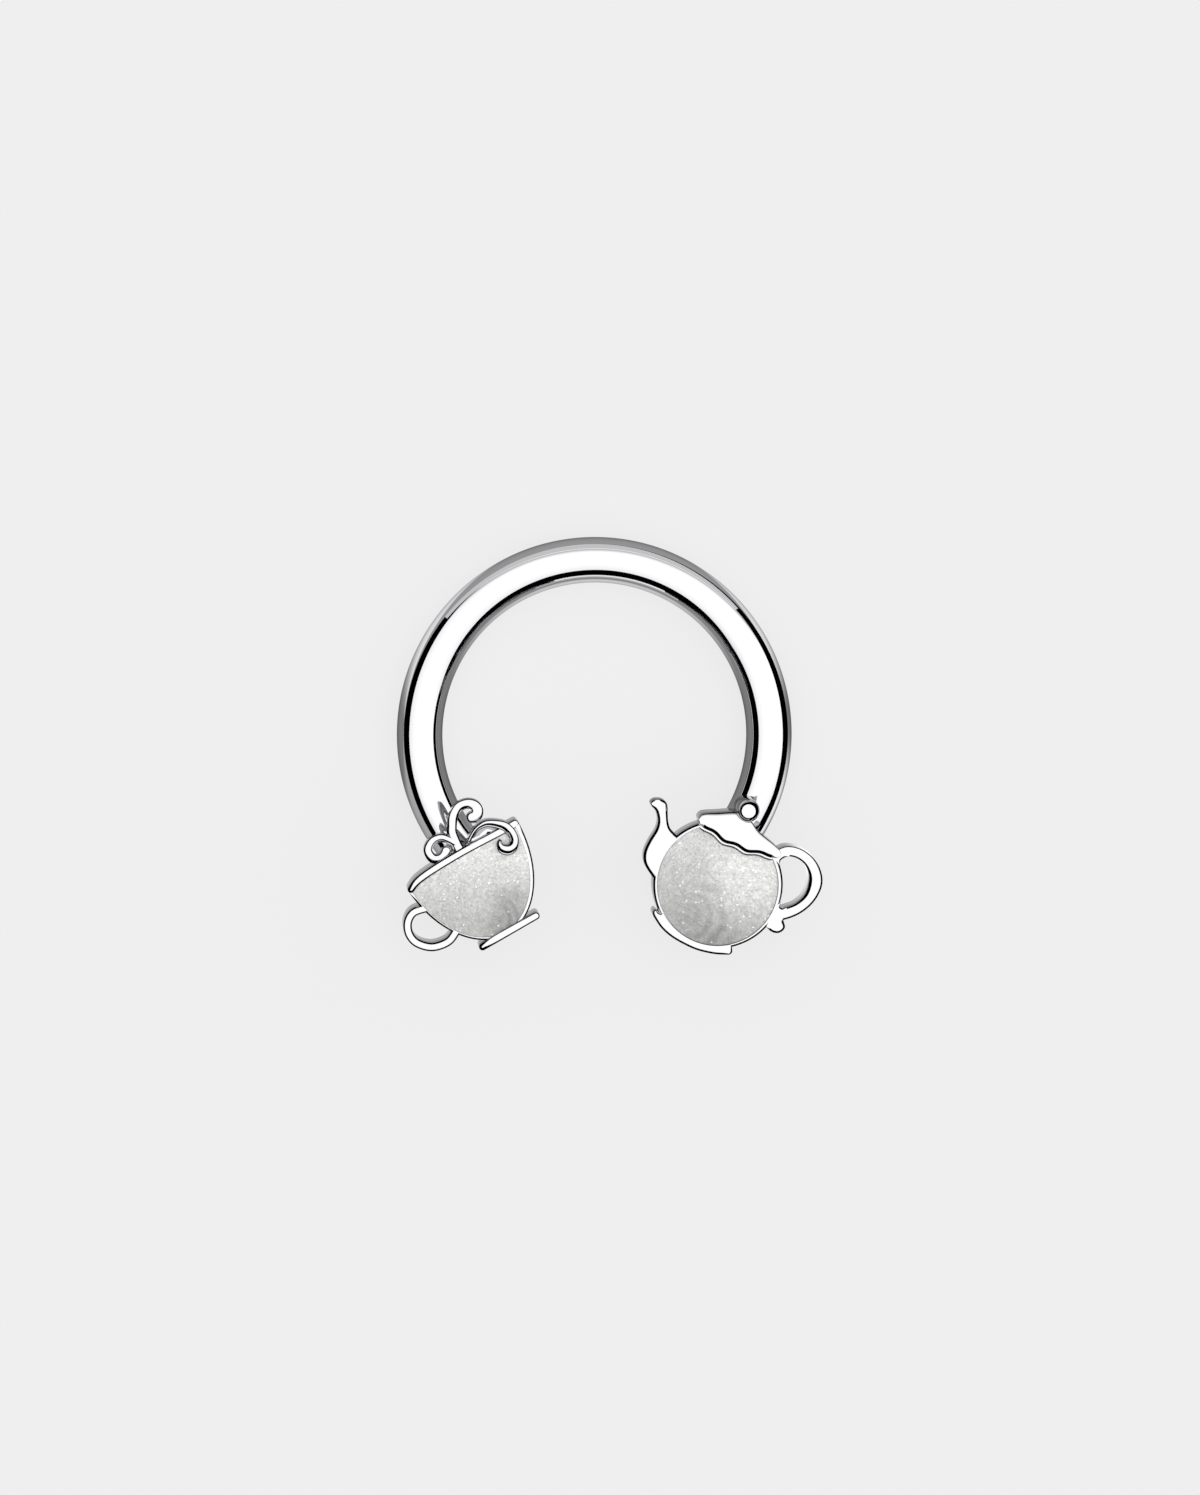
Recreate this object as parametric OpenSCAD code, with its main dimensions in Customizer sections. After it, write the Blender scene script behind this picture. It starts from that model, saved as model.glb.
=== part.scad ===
// Horseshoe barbell: an open ring of round bar that ends in a teacup and a teapot.
// It lies on its side. X runs from the teacup to the teapot, Y towards the crown of the ring,
// and Z up out of the enamelled faces. The origin is under the middle of the whole jewel.

/* [Ring] */
// Inside diameter of the ring
inside_d = 8; // [7:0.5:12]
// Thickness of the round bar
bar_d = 1.2; // [1:0.1:1.6]
// Thickness of the plain pin at each end of the bar
pin_d = 0.8; // [0.5:0.05:0.85]
// Length of the pin past the end of the bar
pin_len = 1.3; // [0.8:0.1:1.6]
// Clearance round the pin, at its tip and at the bar's end
pin_gap = 0.02; // [0.01:0.01:0.05]

/* [Charm places] */
// How far outside the middle of the bar both charms are centred
charm_reach = 0.36; // [0.2:0.01:0.5]
// How far below the level line the teapot sits round the ring, in degrees
pot_angle = 50.6; // [46:0.1:54]
// How far the teapot leans clockwise, in degrees
pot_lean = 26; // [10:1:40]
// How far below the level line the teacup sits round the ring, in degrees
cup_angle = 52.8; // [48:0.1:56]
// How far the teacup leans the other way, in degrees
cup_lean = 30; // [10:1:40]

/* [Cast charms] */
// Thickness of both cast charms in front of the bar
plate_t = 1.2; // [0.9:0.05:1.6]
// Clearance between the front of the bar and the back of the charms
plate_gap = 0.05; // [0.03:0.01:0.15]
// Rounding along the front edges of the castings
edge_soft = 0.08; // [0.04:0.01:0.1]
// Depth of the pockets that hold the enamel
pocket_depth = 0.35; // [0.2:0.05:0.6]
// Clearance between the enamel and the metal
enamel_gap = 0.02; // [0.01:0.01:0.04]
// How far the middle of the enamel swells above its edge
enamel_swell = 0.1; // [0.04:0.01:0.16]
// Width of the flat on each boss past the edge of the bar that seats on it
seat_land = 0.12; // [0.04:0.01:0.16]

/* [Teapot] */
// Radius of the pocket in the teapot's round belly
pot_r = 1.59; // [1.4:0.01:2]
// Width of the metal rim round the belly
pot_rim = 0.1; // [0.08:0.01:0.2]
// Thickness of the spout, in front
spout_t = 0.8; // [0.4:0.05:0.9]
// How far the lid stands proud of the rim
lid_rise = 0.26; // [0.1:0.02:0.4]
// Diameter of the round knob on the lid
knob_d = 0.58; // [0.4:0.02:0.8]
// How far the top of the knob stands proud of the lid
knob_rise = 0.2; // [0.1:0.02:0.3]
// Width of the teapot's handle
pot_handle_w = 0.27; // [0.2:0.01:0.34]
// Width of the foot along the bottom of the rim
pot_foot_w = 0.15; // [0.1:0.01:0.2]
// Diameter of the thumb stop under the handle
stop_d = 0.47; // [0.3:0.01:0.6]
// Diameter of the round boss behind the teapot
pot_boss_d = 2.6; // [2.2:0.1:2.8]

/* [Teacup] */
// Width of the bowl across its mouth
cup_w = 3.4; // [3:0.1:4]
// Depth of the bowl from its mouth to its foot
cup_depth = 2.4; // [2.2:0.05:2.8]
// Width of the metal rim round the bowl
cup_rim = 0.09; // [0.06:0.01:0.16]
// Width of the rounded lip along the mouth
lip_w = 0.2; // [0.14:0.01:0.26]
// Width of the rounded rod that the bowl stands on
foot_w = 0.19; // [0.12:0.01:0.24]
// How far the lip and the foot stand proud of the rim
lip_rise = 0.1; // [0.04:0.02:0.2]
// Width of the teacup's handle
cup_handle_w = 0.21; // [0.16:0.01:0.26]
// Width of the curls of steam
steam_w = 0.22; // [0.16:0.01:0.24]
// Thickness of the curls of steam, in front
steam_t = 0.5; // [0.4:0.05:0.8]
// How far the right curl stands proud of the rim, where it crosses the lip
curl_rise = 0.26; // [0.22:0.02:0.4]
// Diameter of the round boss behind the teacup
cup_boss_d = 2.3; // [2.1:0.1:2.4]

/* [Hidden] */
$fn = 96;

ring_r = (inside_d + bar_d) / 2;
bar_r = bar_d / 2;
plate_back = bar_d + plate_gap;
front = plate_back + plate_t;
pocket_floor = front - pocket_depth;
enamel_edge = front - enamel_swell / 2;
pot_out = pot_r + pot_rim;
cup_r = cup_w / 2;
steel = [0.80, 0.81, 0.83];
pearl = [0.86, 0.86, 0.84];
// Overlap where two forms of one casting grow into each other
weld = 0.1;
// Spare length of the shapes that cut, past what they cut
spare = 1;
// Steps between two hand-set points of a curve
steps = 3;

// Curves and bands

// One point of a smooth curve between b and c, where a comes before them and d after
function between(a, b, c, d, t) =
    (2 * b + (c - a) * t + (2 * a - 5 * b + 4 * c - d) * t ^ 2 + (3 * b - a - 3 * c + d) * t ^ 3) / 2;
// A smooth curve through hand-set rows
function smooth(p) = [
    for (i = [0 : len(p) - 2], s = [0 : steps - 1])
        between(p[max(i - 1, 0)], p[i], p[i + 1], p[min(i + 2, len(p) - 1)], s / steps),
    p[len(p) - 1]
];
function flat(p) = [p[0], p[1]];
function last(p) = len(p) - 1;
function reversed(p) = [for (i = [last(p) : -1 : 0]) p[i]];
// Sideways direction of a curve at its row i
function side(p, i) =
    let (d = flat(p[min(i + 1, last(p))] - p[max(i - 1, 0)]))
    [-d[1], d[0]] / norm(d);

// Turns of a rounded end, in degrees
end_turns = [30, 60, 82];
// Both edges of the half round past row i. It points ahead with way 1, and back with way -1.
function round_end(p, i, way) =
    let (s = side(p, i), ahead = way * [s[1], -s[0]], h = p[i][2])
    [for (a = end_turns)
        let (m = flat(p[i]) + ahead * h * sin(a), w = s * h * cos(a)) [m + w, m - w]];
// Left and right edge of a band whose rows are x, y and half width
function band(p) =
    [for (i = [0 : last(p)]) let (w = side(p, i) * p[i][2]) [flat(p[i]) + w, flat(p[i]) - w]];
function round_band(p, round_first, round_last) = concat(
    round_first ? reversed(round_end(p, 0, -1)) : [],
    band(p),
    round_last ? round_end(p, last(p), 1) : []
);
// Outline of a band as a polygon's points
function outline(edges) =
    concat([for (e = edges) e[0]], reversed([for (e = edges) e[1]]));
// The rows of a band with its half width grown
function grown(p, by) = [for (r = p) [r[0], r[1], r[2] + by]];
// The rows of a table, with x and y as shares of two lengths and the half width as one of a third
function sized(table, x_size, y_size, w_size) =
    [for (r = table) [r[0] * x_size, r[1] * y_size, r[2] * w_size]];

// Turns of the rounding along each front edge, in degrees
edge_turns = [0, 45, 90];
// Share of a band's half width that its rounded edges may take up
most_soft_share = 0.9;
// Points of one section across a band, from its left edge to its right
function section(e, low, high, soft) =
    let (
        half = norm(e[1] - e[0]) / 2,
        s = min(soft, most_soft_share * half),
        to = (e[1] - e[0]) / (2 * half),
        rise = [for (a = edge_turns) [s * (1 - cos(a)), high - s * (1 - sin(a))]]
    )
    concat(
        [[each e[0], low]],
        [for (r = rise) [each e[0] + to * r[0], r[1]]],
        [for (r = reversed(rise)) [each e[1] - to * r[0], r[1]]],
        [[each e[1], low]]
    );
// A solid band between its two edges, flat behind and rounded in front
module cast_band(edges, low, high, soft) {
    rows = [for (e = edges) section(e, low, high, soft)];
    n = len(rows);
    m = len(rows[0]);
    sides = [
        for (i = [0 : n - 2], k = [0 : m - 1])
            let (a = i * m + k, b = i * m + (k + 1) % m)
            each [[a, a + m, b + m], [a, b + m, b]]
    ];
    ends = [[for (k = [0 : m - 1]) k], [for (k = [m - 1 : -1 : 0]) (n - 1) * m + k]];
    polyhedron([for (r = rows) each r], concat(sides, ends), convexity = 6);
}
// Steps from the middle of a dome of enamel to its edge
dome_steps = 8;
// A dome of enamel, whose middle swells above its edge
module dome(low, edge, radius) {
    rotate_extrude() polygon([
        [0, low],
        [radius, low],
        for (i = [dome_steps : -1 : 0])
            let (x = i / dome_steps) [x * radius, edge + enamel_swell * (1 - x ^ 2)]
    ]);
}

// Places

// How far round the ring from a boss's middle the bar ends, in degrees
function seat_turn(boss_d) = sqrt((boss_d / 2) ^ 2 - (bar_r + seat_land) ^ 2) / ring_r * 180 / PI;
// Turns of the bar's two ends and its pins' directions round the ring
pot_end = -pot_angle + seat_turn(pot_boss_d);
cup_end = 180 + cup_angle - seat_turn(cup_boss_d);
// Middle of each charm in the plane of the ring
pot_at = (ring_r + charm_reach) * [cos(pot_angle), -sin(pot_angle)];
cup_at = (ring_r + charm_reach) * [-cos(cup_angle), -sin(cup_angle)];
// Depth of the bowl's middle, which lies on the teacup's place, below its mouth
cup_mid_share = 0.48;
cup_mid = cup_mid_share * cup_depth;

// The frame that a charm's own drawing lies in, and one of its points in the plane of the ring
module lean(at, angle) translate([at[0], at[1], 0]) rotate(-angle) children();
function leaned(p, at, angle) =
    at + [p[0] * cos(angle) + p[1] * sin(angle), p[1] * cos(angle) - p[0] * sin(angle)];
module on_pot() lean(pot_at, pot_lean) children();
module on_cup() lean(cup_at, -cup_lean) translate([0, cup_mid, 0]) children();
// The frame of a bar end: X points out of the ring, and the pin runs along Y with way 1
module at_end(turn, way) rotate(turn) translate([ring_r, 0, bar_r]) rotate([-90 * way, 0, 0]) children();

// Forms of the teapot, upright about the middle of its belly

// Spout: its left edge's x and y and its right edge's x and y, as shares of the rim's radius
spout_rows = [
    [-0.85, -0.37, -0.79, 0.50],
    [-0.95, -0.32, -0.88, 0.44],
    [-1.13, -0.19, -0.96, 0.43],
    [-1.23, -0.02, -1.00, 0.45],
    [-1.22, 0.16, -1.06, 0.48],
    [-1.20, 0.35, -1.11, 0.52],
    [-1.24, 0.49, -1.15, 0.58],
    [-1.33, 0.61, -1.20, 0.69],
    [-1.42, 0.66, -1.24, 0.76],
    [-1.48, 0.69, -1.30, 0.81],
    [-1.45, 0.73, -1.35, 0.80]
];
spout_edges = [for (r = smooth(spout_rows) * pot_out) [[r[0], r[1]], [r[2], r[3]]]];
// Handle: x and y as shares of the rim's radius, and half width as a share of its width
pot_handle_rows = [
    [0.62, 0.78, 0.5],
    [0.73, 0.93, 0.5],
    [0.90, 1.00, 0.5],
    [1.09, 0.96, 0.5],
    [1.27, 0.84, 0.5],
    [1.35, 0.66, 0.5],
    [1.33, 0.46, 0.5],
    [1.24, 0.25, 0.5],
    [1.12, 0.08, 0.5],
    [0.95, -0.08, 0.5]
];
pot_handle = smooth(sized(pot_handle_rows, pot_out, pot_out, pot_handle_w));
// Foot: x and y as shares of the rim's radius, and half width as a share of its width
pot_foot_rows = [
    [-0.67, -0.83, 0.5],
    [-0.48, -0.92, 0.5],
    [-0.07, -1.01, 0.5],
    [0.34, -0.96, 0.5],
    [0.60, -0.82, 0.5]
];
pot_foot = smooth(sized(pot_foot_rows, pot_out, pot_out, pot_foot_w));
// Upper edge of the lid: x and y as shares of the rim's radius
lid_top_rows = [
    [-0.72, 0.84],
    [-0.70, 0.90],
    [-0.65, 0.94],
    [-0.27, 1.14],
    [-0.12, 1.16],
    [0.03, 1.12],
    [0.20, 1.03],
    [0.51, 0.95],
    [0.63, 0.90],
    [0.67, 0.84]
];
lid_top = smooth(lid_top_rows);
// Shares of the rim's radius: the level of the lid's lower edge where it dips most, how it bends up
// from there, and its scallops, one of which hangs lowest at scallop_at_share
lid_low_share = 0.655;
lid_dip_share = -0.09;
lid_bend_share = 0.27;
scallop_deep_share = 0.018;
scallop_long_share = 0.39;
scallop_at_share = -0.225;
// Share of the upper edge's reach that the lower edge has
lid_tuck_share = 0.94;
// Level of the lid's scalloped lower edge at a share x
function lid_edge(x) =
    lid_low_share + lid_bend_share * (x - lid_dip_share) ^ 2
    - scallop_deep_share * cos(360 * (x - scallop_at_share) / scallop_long_share);
lid_turns = 30;
lid_left = lid_top_rows[0][0];
lid_right = lid_top_rows[last(lid_top_rows)][0];
lid_stations = [for (i = [0 : lid_turns]) lid_left + (lid_right - lid_left) * i / lid_turns];
lid_edges = [
    for (x = lid_stations)
        let (low_x = lid_tuck_share * x)
        [[x, lookup(x, lid_top)], [low_x, lid_edge(low_x)]] * pot_out
];
knob_at = [-0.095, 1.25] * pot_out;
stop_at = [1.07, -0.14] * pot_out;

// Forms of the teacup, upright about the middle of its mouth

// Bowl: an ellipse a little deeper than the bowl, cut off level by the foot and, a share of the lip's
// width below the middle of the lip, along the mouth
bowl_turn = 4;
bowl_deep_share = 1.03;
mouth_drop_share = 0.25;
module bowl(inset, shift, foot_level) {
    mouth = [for (r = lip) [r[0], r[1] - mouth_drop_share * lip_w]];
    below_mouth = concat(
        [[-cup_w, mouth[0][1]]],
        mouth,
        [[cup_w, mouth[last(mouth)][1]], [cup_w, foot_level], [-cup_w, foot_level]]
    );
    intersection() {
        polygon([for (a = [0 : bowl_turn : 360 - bowl_turn])
            [(cup_r - inset) * cos(a) + shift, (cup_depth * bowl_deep_share - inset) * sin(a)]]);
        polygon(below_mouth);
    }
}
// How far the left of the bowl's rim is narrower than its right, over two
rim_shift = 0.025;
// Lip: x as a share of half the mouth, y and half width as shares of its own width
lip_rows = [
    [-0.95, -0.90, 0.44],
    [-0.79, -0.35, 0.49],
    [-0.49, -0.08, 0.5],
    [0.04, -0.03, 0.5],
    [0.67, -0.27, 0.5],
    [0.97, -0.53, 0.4]
];
lip = smooth(sized(lip_rows, cup_r, lip_w, lip_w));
// Foot: x as a share of half the mouth, y as a share of the bowl's depth
cup_foot_rows = [
    [-0.44, -1.01, 0.5],
    [0.51, -1.01, 0.5]
];
cup_foot = sized(cup_foot_rows, cup_r, cup_depth, foot_w);
// Handle: x as a share of half the mouth, y as one of the bowl's depth
cup_handle_rows = [
    [-0.90, -0.335, 0.5],
    [-1.09, -0.31, 0.5],
    [-1.23, -0.36, 0.5],
    [-1.31, -0.46, 0.5],
    [-1.31, -0.57, 0.5],
    [-1.24, -0.66, 0.5],
    [-1.12, -0.735, 0.5],
    [-0.97, -0.77, 0.5],
    [-0.82, -0.77, 0.5],
    [-0.67, -0.72, 0.5]
];
cup_handle = smooth(sized(cup_handle_rows, cup_r, cup_depth, cup_handle_w));
// Steam: x and y as shares of half the mouth, half width as a share of the curls' width
stem_rows = [
    [0, -0.02, 0.5],
    [0.05, 0.32, 0.51],
    [0.11, 0.46, 0.52],
    [0.23, 0.58, 0.53],
    [0.36, 0.62, 0.53],
    [0.48, 0.59, 0.53],
    [0.56, 0.50, 0.55],
    [0.55, 0.40, 0.57],
    [0.46, 0.36, 0.56],
    [0.40, 0.39, 0.52]
];
left_curl_rows = [
    [0.01, 0.12, 0.36],
    [-0.09, 0.30, 0.43],
    [-0.20, 0.355, 0.46],
    [-0.31, 0.36, 0.49],
    [-0.41, 0.305, 0.5],
    [-0.45, 0.23, 0.49],
    [-0.44, 0.15, 0.48],
    [-0.38, 0.09, 0.47],
    [-0.30, 0.08, 0.46],
    [-0.21, 0.115, 0.43]
];
right_curl_rows = [
    [0.18, 0.04, 0.18],
    [0.29, 0.15, 0.22],
    [0.42, 0.20, 0.3],
    [0.55, 0.19, 0.37],
    [0.66, 0.14, 0.39],
    [0.75, 0.06, 0.42],
    [0.80, -0.03, 0.45],
    [0.82, -0.14, 0.48],
    [0.80, -0.245, 0.48],
    [0.73, -0.315, 0.47],
    [0.64, -0.32, 0.44],
    [0.59, -0.27, 0.4],
    [0.58, -0.19, 0.32]
];
stem = smooth(sized(stem_rows, cup_r, cup_r, steam_w));
left_curl = smooth(sized(left_curl_rows, cup_r, cup_r, steam_w));
// Reach of the right curl, whose outer edge keeps a clearance across the enamel to the rim
curl_clear = 0.04;
curl_far_share = 0.82;
curl_reach = (cup_r - cup_rim - rim_shift - 2 * enamel_gap - steam_w / 2 - curl_clear) / curl_far_share;
right_curl = smooth(sized(right_curl_rows, curl_reach, cup_r, steam_w));
// Thickness of the web behind the right curl, as a share of the curls' thickness
web_share = 0.6;

// Middle of the whole jewel in the plane of the ring

ring_out = ring_r + bar_r;
pot_reached = [for (e = concat(band(pot_handle), round_band(pot_foot, true, true)), p = e)
    leaned(p, pot_at, pot_lean)];
cup_reached = [for (e = concat(band(cup_handle), round_band(cup_foot, true, true)), p = e)
    leaned([p[0], p[1] + cup_mid], cup_at, -cup_lean)];
reached = concat(pot_reached, cup_reached);
low_x = min(-ring_out, min([for (p = reached) p[0]]));
high_x = max(ring_out, max([for (p = reached) p[0]]));
low_y = min([for (p = reached) p[1]]);
middle = [(low_x + high_x) / 2, (low_y + ring_out) / 2];
module centred() translate([-middle[0], -middle[1], 0]) children();

// Sub-parts

// Round bar, bent to an open ring, with a plain pin at each end
module bar() {
    color(steel) centred() {
        rotate(pot_end) translate([0, 0, bar_r])
            rotate_extrude(angle = cup_end - pot_end) translate([ring_r, 0]) circle(bar_r);
        at_end(pot_end, -1) translate([0, 0, -weld]) cylinder(h = pin_len + weld, d = pin_d);
        at_end(cup_end, 1) translate([0, 0, -weld]) cylinder(h = pin_len + weld, d = pin_d);
    }
}

// Round boss behind a charm, with a flat seat for the bar's end
module boss(turn, way, boss_d) {
    seat = sqrt((boss_d / 2) ^ 2 - (bar_r + seat_land) ^ 2);
    difference() {
        rotate(turn) translate([ring_r, way * seat, 0]) cylinder(h = plate_back + weld, d = boss_d);
        at_end(turn, way) translate([0, 0, pin_gap - boss_d / 2])
            cube([2 * boss_d, 2 * boss_d, boss_d], center = true);
    }
}
// Space of a bar end's pin with its clearance
module pin_bore(turn, way) {
    at_end(turn, way) translate([0, 0, -weld])
        cylinder(h = pin_len + pin_gap + weld, d = pin_d + 2 * pin_gap);
}

// Cast teapot: round plate with a pocket, spout, handle, foot, thumb stop, lid, knob and boss
module teapot() {
    color(steel) centred() {
        difference() {
            union() {
                on_pot() {
                    pot_belly();
                    cast_band(spout_edges, front - spout_t, front, edge_soft);
                    cast_band(band(pot_handle), plate_back, front, edge_soft);
                    cast_band(round_band(pot_foot, true, true), plate_back, front, edge_soft / 2);
                    translate([each stop_at, plate_back]) cylinder(h = plate_t - edge_soft / 2, d = stop_d);
                }
                boss(pot_end, -1, pot_boss_d);
            }
            on_pot() translate([0, 0, pocket_floor]) cylinder(h = plate_t, r = pot_r);
            pin_bore(pot_end, -1);
        }
        on_pot() {
            cast_band(lid_edges, plate_back + weld / 2, front + lid_rise, edge_soft);
            knob();
        }
    }
}
// Round belly plate with a softened front edge
module pot_belly() {
    soft = edge_soft / 2;
    rotate_extrude() polygon([
        [0, plate_back],
        [pot_out, plate_back],
        [pot_out, front - soft],
        [pot_out - soft, front],
        [0, front]
    ]);
}
// Round knob: a post with a domed top
module knob() {
    knob_r = knob_d / 2;
    post_top = front + lid_rise + knob_rise - knob_r;
    translate([each knob_at, 0]) {
        translate([0, 0, plate_back]) cylinder(h = post_top - plate_back, r = knob_r - enamel_gap);
        translate([0, 0, post_top]) sphere(knob_r);
    }
}

// Enamel in the teapot's belly, cut off along the lid
module teapot_enamel() {
    color(pearl) centred() on_pot() difference() {
        dome(pocket_floor + enamel_gap, enamel_edge, pot_r - enamel_gap);
        translate([0, 0, pocket_floor - spare]) linear_extrude(plate_t + 2 * spare) polygon(concat(
            [for (e = lid_edges) e[1] - [0, enamel_gap]],
            [[pot_out, lid_edges[last(lid_edges)][1][1]], [pot_out, 2 * pot_out]],
            [[-pot_out, 2 * pot_out], [-pot_out, lid_edges[0][1][1]]]
        ));
    }
}

// Cast teacup: bowl plate with a pocket, lip, foot, handle, three curls of steam, web and boss
module teacup() {
    proud = front + lip_rise;
    steam_back = front - steam_t;
    color(steel) centred() {
        difference() {
            union() {
                on_cup() {
                    translate([0, 0, plate_back]) linear_extrude(plate_t) bowl(0, 0, -cup_depth);
                    cast_band(band(cup_handle), plate_back, front, edge_soft);
                }
                boss(cup_end, 1, cup_boss_d);
            }
            on_cup() translate([0, 0, pocket_floor]) linear_extrude(plate_t)
                bowl(cup_rim, -rim_shift, foot_w / 4 - cup_depth);
            pin_bore(cup_end, 1);
        }
        on_cup() {
            cast_band(round_band(lip, true, false), plate_back + weld / 2, proud, edge_soft);
            cast_band(round_band(cup_foot, true, true), plate_back + weld / 2, proud, edge_soft);
            cast_band(round_band(stem, false, true), steam_back, front + lip_rise / 2, steam_w / 2);
            cast_band(round_band(left_curl, false, true), steam_back + weld / 4, front, steam_w / 2);
            cast_band(
                round_band(right_curl, true, true), steam_back + weld / 2, front + curl_rise, steam_w / 2);
            web();
        }
    }
}
// Thin web that ties the right curl to the lip
module web() {
    tied = [for (r = right_curl) if (r[1] > 0) flat(r)];
    translate([0, 0, front - steam_t + weld]) linear_extrude(steam_t * web_share) polygon(tied);
}

// Enamel in the teacup's bowl, cut out along the lip, the foot and the right curl
module teacup_enamel() {
    color(pearl) centred() on_cup() difference() {
        intersection() {
            translate([0, 0, pocket_floor + enamel_gap]) linear_extrude(plate_t)
                bowl(cup_rim + enamel_gap, -rim_shift, -cup_depth);
            translate([0, -cup_mid, 0]) dome(pocket_floor, enamel_edge, norm([cup_r, cup_mid]));
        }
        translate([0, 0, pocket_floor - spare]) linear_extrude(plate_t + 2 * spare) {
            polygon(outline(round_band(grown(lip, enamel_gap), true, false)));
            polygon(outline(round_band(grown(cup_foot, enamel_gap), true, true)));
            polygon(outline(round_band(grown(right_curl, enamel_gap), true, true)));
        }
    }
}

bar();
teapot();
teapot_enamel();
teacup();
teacup_enamel();
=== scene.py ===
# %% [markdown]
# # A horseshoe barbell with a teacup and a teapot
# A horseshoe barbell is an open ring of round steel bar. A charm screws onto each of its ends: here a cast
# teacup and a cast teapot, each with a pocket full of pearl-white glitter enamel. The ring lies on its
# side on a pale table, and we look down at it from above.
#
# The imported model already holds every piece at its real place, but its curves are made of flats that a
# mirror finish would show. So each piece is made again here, at the same size and place, with curves fine
# enough to polish.

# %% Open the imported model
import math

import bmesh
import bpy
from mathutils import Matrix, Vector


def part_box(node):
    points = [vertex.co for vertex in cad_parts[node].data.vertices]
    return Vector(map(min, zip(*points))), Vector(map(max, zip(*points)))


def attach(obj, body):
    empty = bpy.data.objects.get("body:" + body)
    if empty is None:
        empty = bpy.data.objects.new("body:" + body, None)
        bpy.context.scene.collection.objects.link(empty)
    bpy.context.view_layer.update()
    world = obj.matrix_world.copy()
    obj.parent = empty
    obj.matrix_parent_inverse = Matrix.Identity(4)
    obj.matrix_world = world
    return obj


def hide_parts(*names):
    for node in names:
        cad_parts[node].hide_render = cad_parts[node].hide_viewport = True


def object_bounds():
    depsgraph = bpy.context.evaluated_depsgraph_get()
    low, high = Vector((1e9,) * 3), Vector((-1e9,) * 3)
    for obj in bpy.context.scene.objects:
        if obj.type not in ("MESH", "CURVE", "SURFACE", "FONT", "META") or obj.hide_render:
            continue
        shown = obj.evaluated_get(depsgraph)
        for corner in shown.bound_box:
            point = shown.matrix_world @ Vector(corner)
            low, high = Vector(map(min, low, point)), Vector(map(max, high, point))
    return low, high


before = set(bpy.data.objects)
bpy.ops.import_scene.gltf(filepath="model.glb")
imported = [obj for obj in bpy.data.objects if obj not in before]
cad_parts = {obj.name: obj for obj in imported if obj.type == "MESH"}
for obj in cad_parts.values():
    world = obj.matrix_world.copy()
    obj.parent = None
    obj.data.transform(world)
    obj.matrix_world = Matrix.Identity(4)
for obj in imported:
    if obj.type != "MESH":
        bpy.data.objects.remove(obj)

MM = 0.001
cad_low, cad_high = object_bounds()
cad_size = (cad_high - cad_low) / MM
print("The model measures %.2f x %.2f x %.2f mm" % tuple(cad_size))

# %% [markdown]
# ## Where things lie
# Every form below is drawn in millimetres, because that is how a maker measures a jewel, and shrunk to
# metres once it is finished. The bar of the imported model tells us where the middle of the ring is: halfway
# across it, and one outer radius below its crown. The other sizes are the real ones: a 1.2 mm bar bent to
# 8 mm inside, with charms 1.2 mm thick that lie in front of it.

# %% Sizes of the ring and its charms, in millimetres
inside_d, bar_d = 8.0, 1.2
pin_d, pin_len, pin_gap = 0.8, 1.3, 0.02
bar_r = bar_d / 2
ring_r = (inside_d + bar_d) / 2

plate_t, plate_gap = 1.2, 0.05
plate_back = bar_d + plate_gap
front = plate_back + plate_t
pocket_floor = front - 0.35

bar_low, bar_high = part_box("bar")
ring_at = Vector(((bar_low[0] + bar_high[0]) / 2 / MM, bar_high[1] / MM - ring_r - bar_r))
print("The middle of the ring lies at %.3f, %.3f mm" % tuple(ring_at))

# %% Places of the two charms
charm_reach = 0.36
pot_angle, pot_lean, pot_boss_d = math.radians(50.6), math.radians(26), 2.6
cup_angle, cup_lean, cup_boss_d = math.radians(52.8), math.radians(30), 2.3
cup_w, cup_depth = 3.4, 2.4
cup_r, cup_mid = cup_w / 2, 0.48 * cup_depth

pot_at = ring_at + (ring_r + charm_reach) * Vector((math.cos(pot_angle), -math.sin(pot_angle)))
cup_at = ring_at + (ring_r + charm_reach) * Vector((-math.cos(cup_angle), -math.sin(cup_angle)))
on_pot = Matrix.Translation((*pot_at, 0)) @ Matrix.Rotation(-pot_lean, 4, "Z")
on_cup = (Matrix.Translation((*cup_at, 0)) @ Matrix.Rotation(cup_lean, 4, "Z")
          @ Matrix.Translation((0, cup_mid, 0)))
print("The teapot sits at %.2f, %.2f mm and the teacup at %.2f, %.2f mm" % (*pot_at, *cup_at))

# %% [markdown]
# ## The camera
# The picture is taken from almost straight above, a little towards the crown of the ring and from the
# left, which is why the walls on those sides of the charms show. A long lens keeps the ring a true circle.
# The camera's up is the ring's crown, so its axes are built by hand: a track-to constraint would roll it
# when it looks down.

# %% The camera
picture_w, picture_h, pixels_a_mm = 1200, 1495, 38.0
ring_pixel = Vector((594.4, 734.3))
camera_off, camera_up = Vector((-11.3, 17.9)), 250.0

off_centre = Vector((picture_w / 2 - ring_pixel.x, ring_pixel.y - picture_h / 2)) / pixels_a_mm
aim = Vector((*(ring_at + off_centre), bar_r))
eye = Vector((*(ring_at + camera_off), bar_r + camera_up))
ahead = (aim - eye).normalized()
right = ahead.cross(Vector((0, 1, 0))).normalized()
up = right.cross(ahead)

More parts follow.
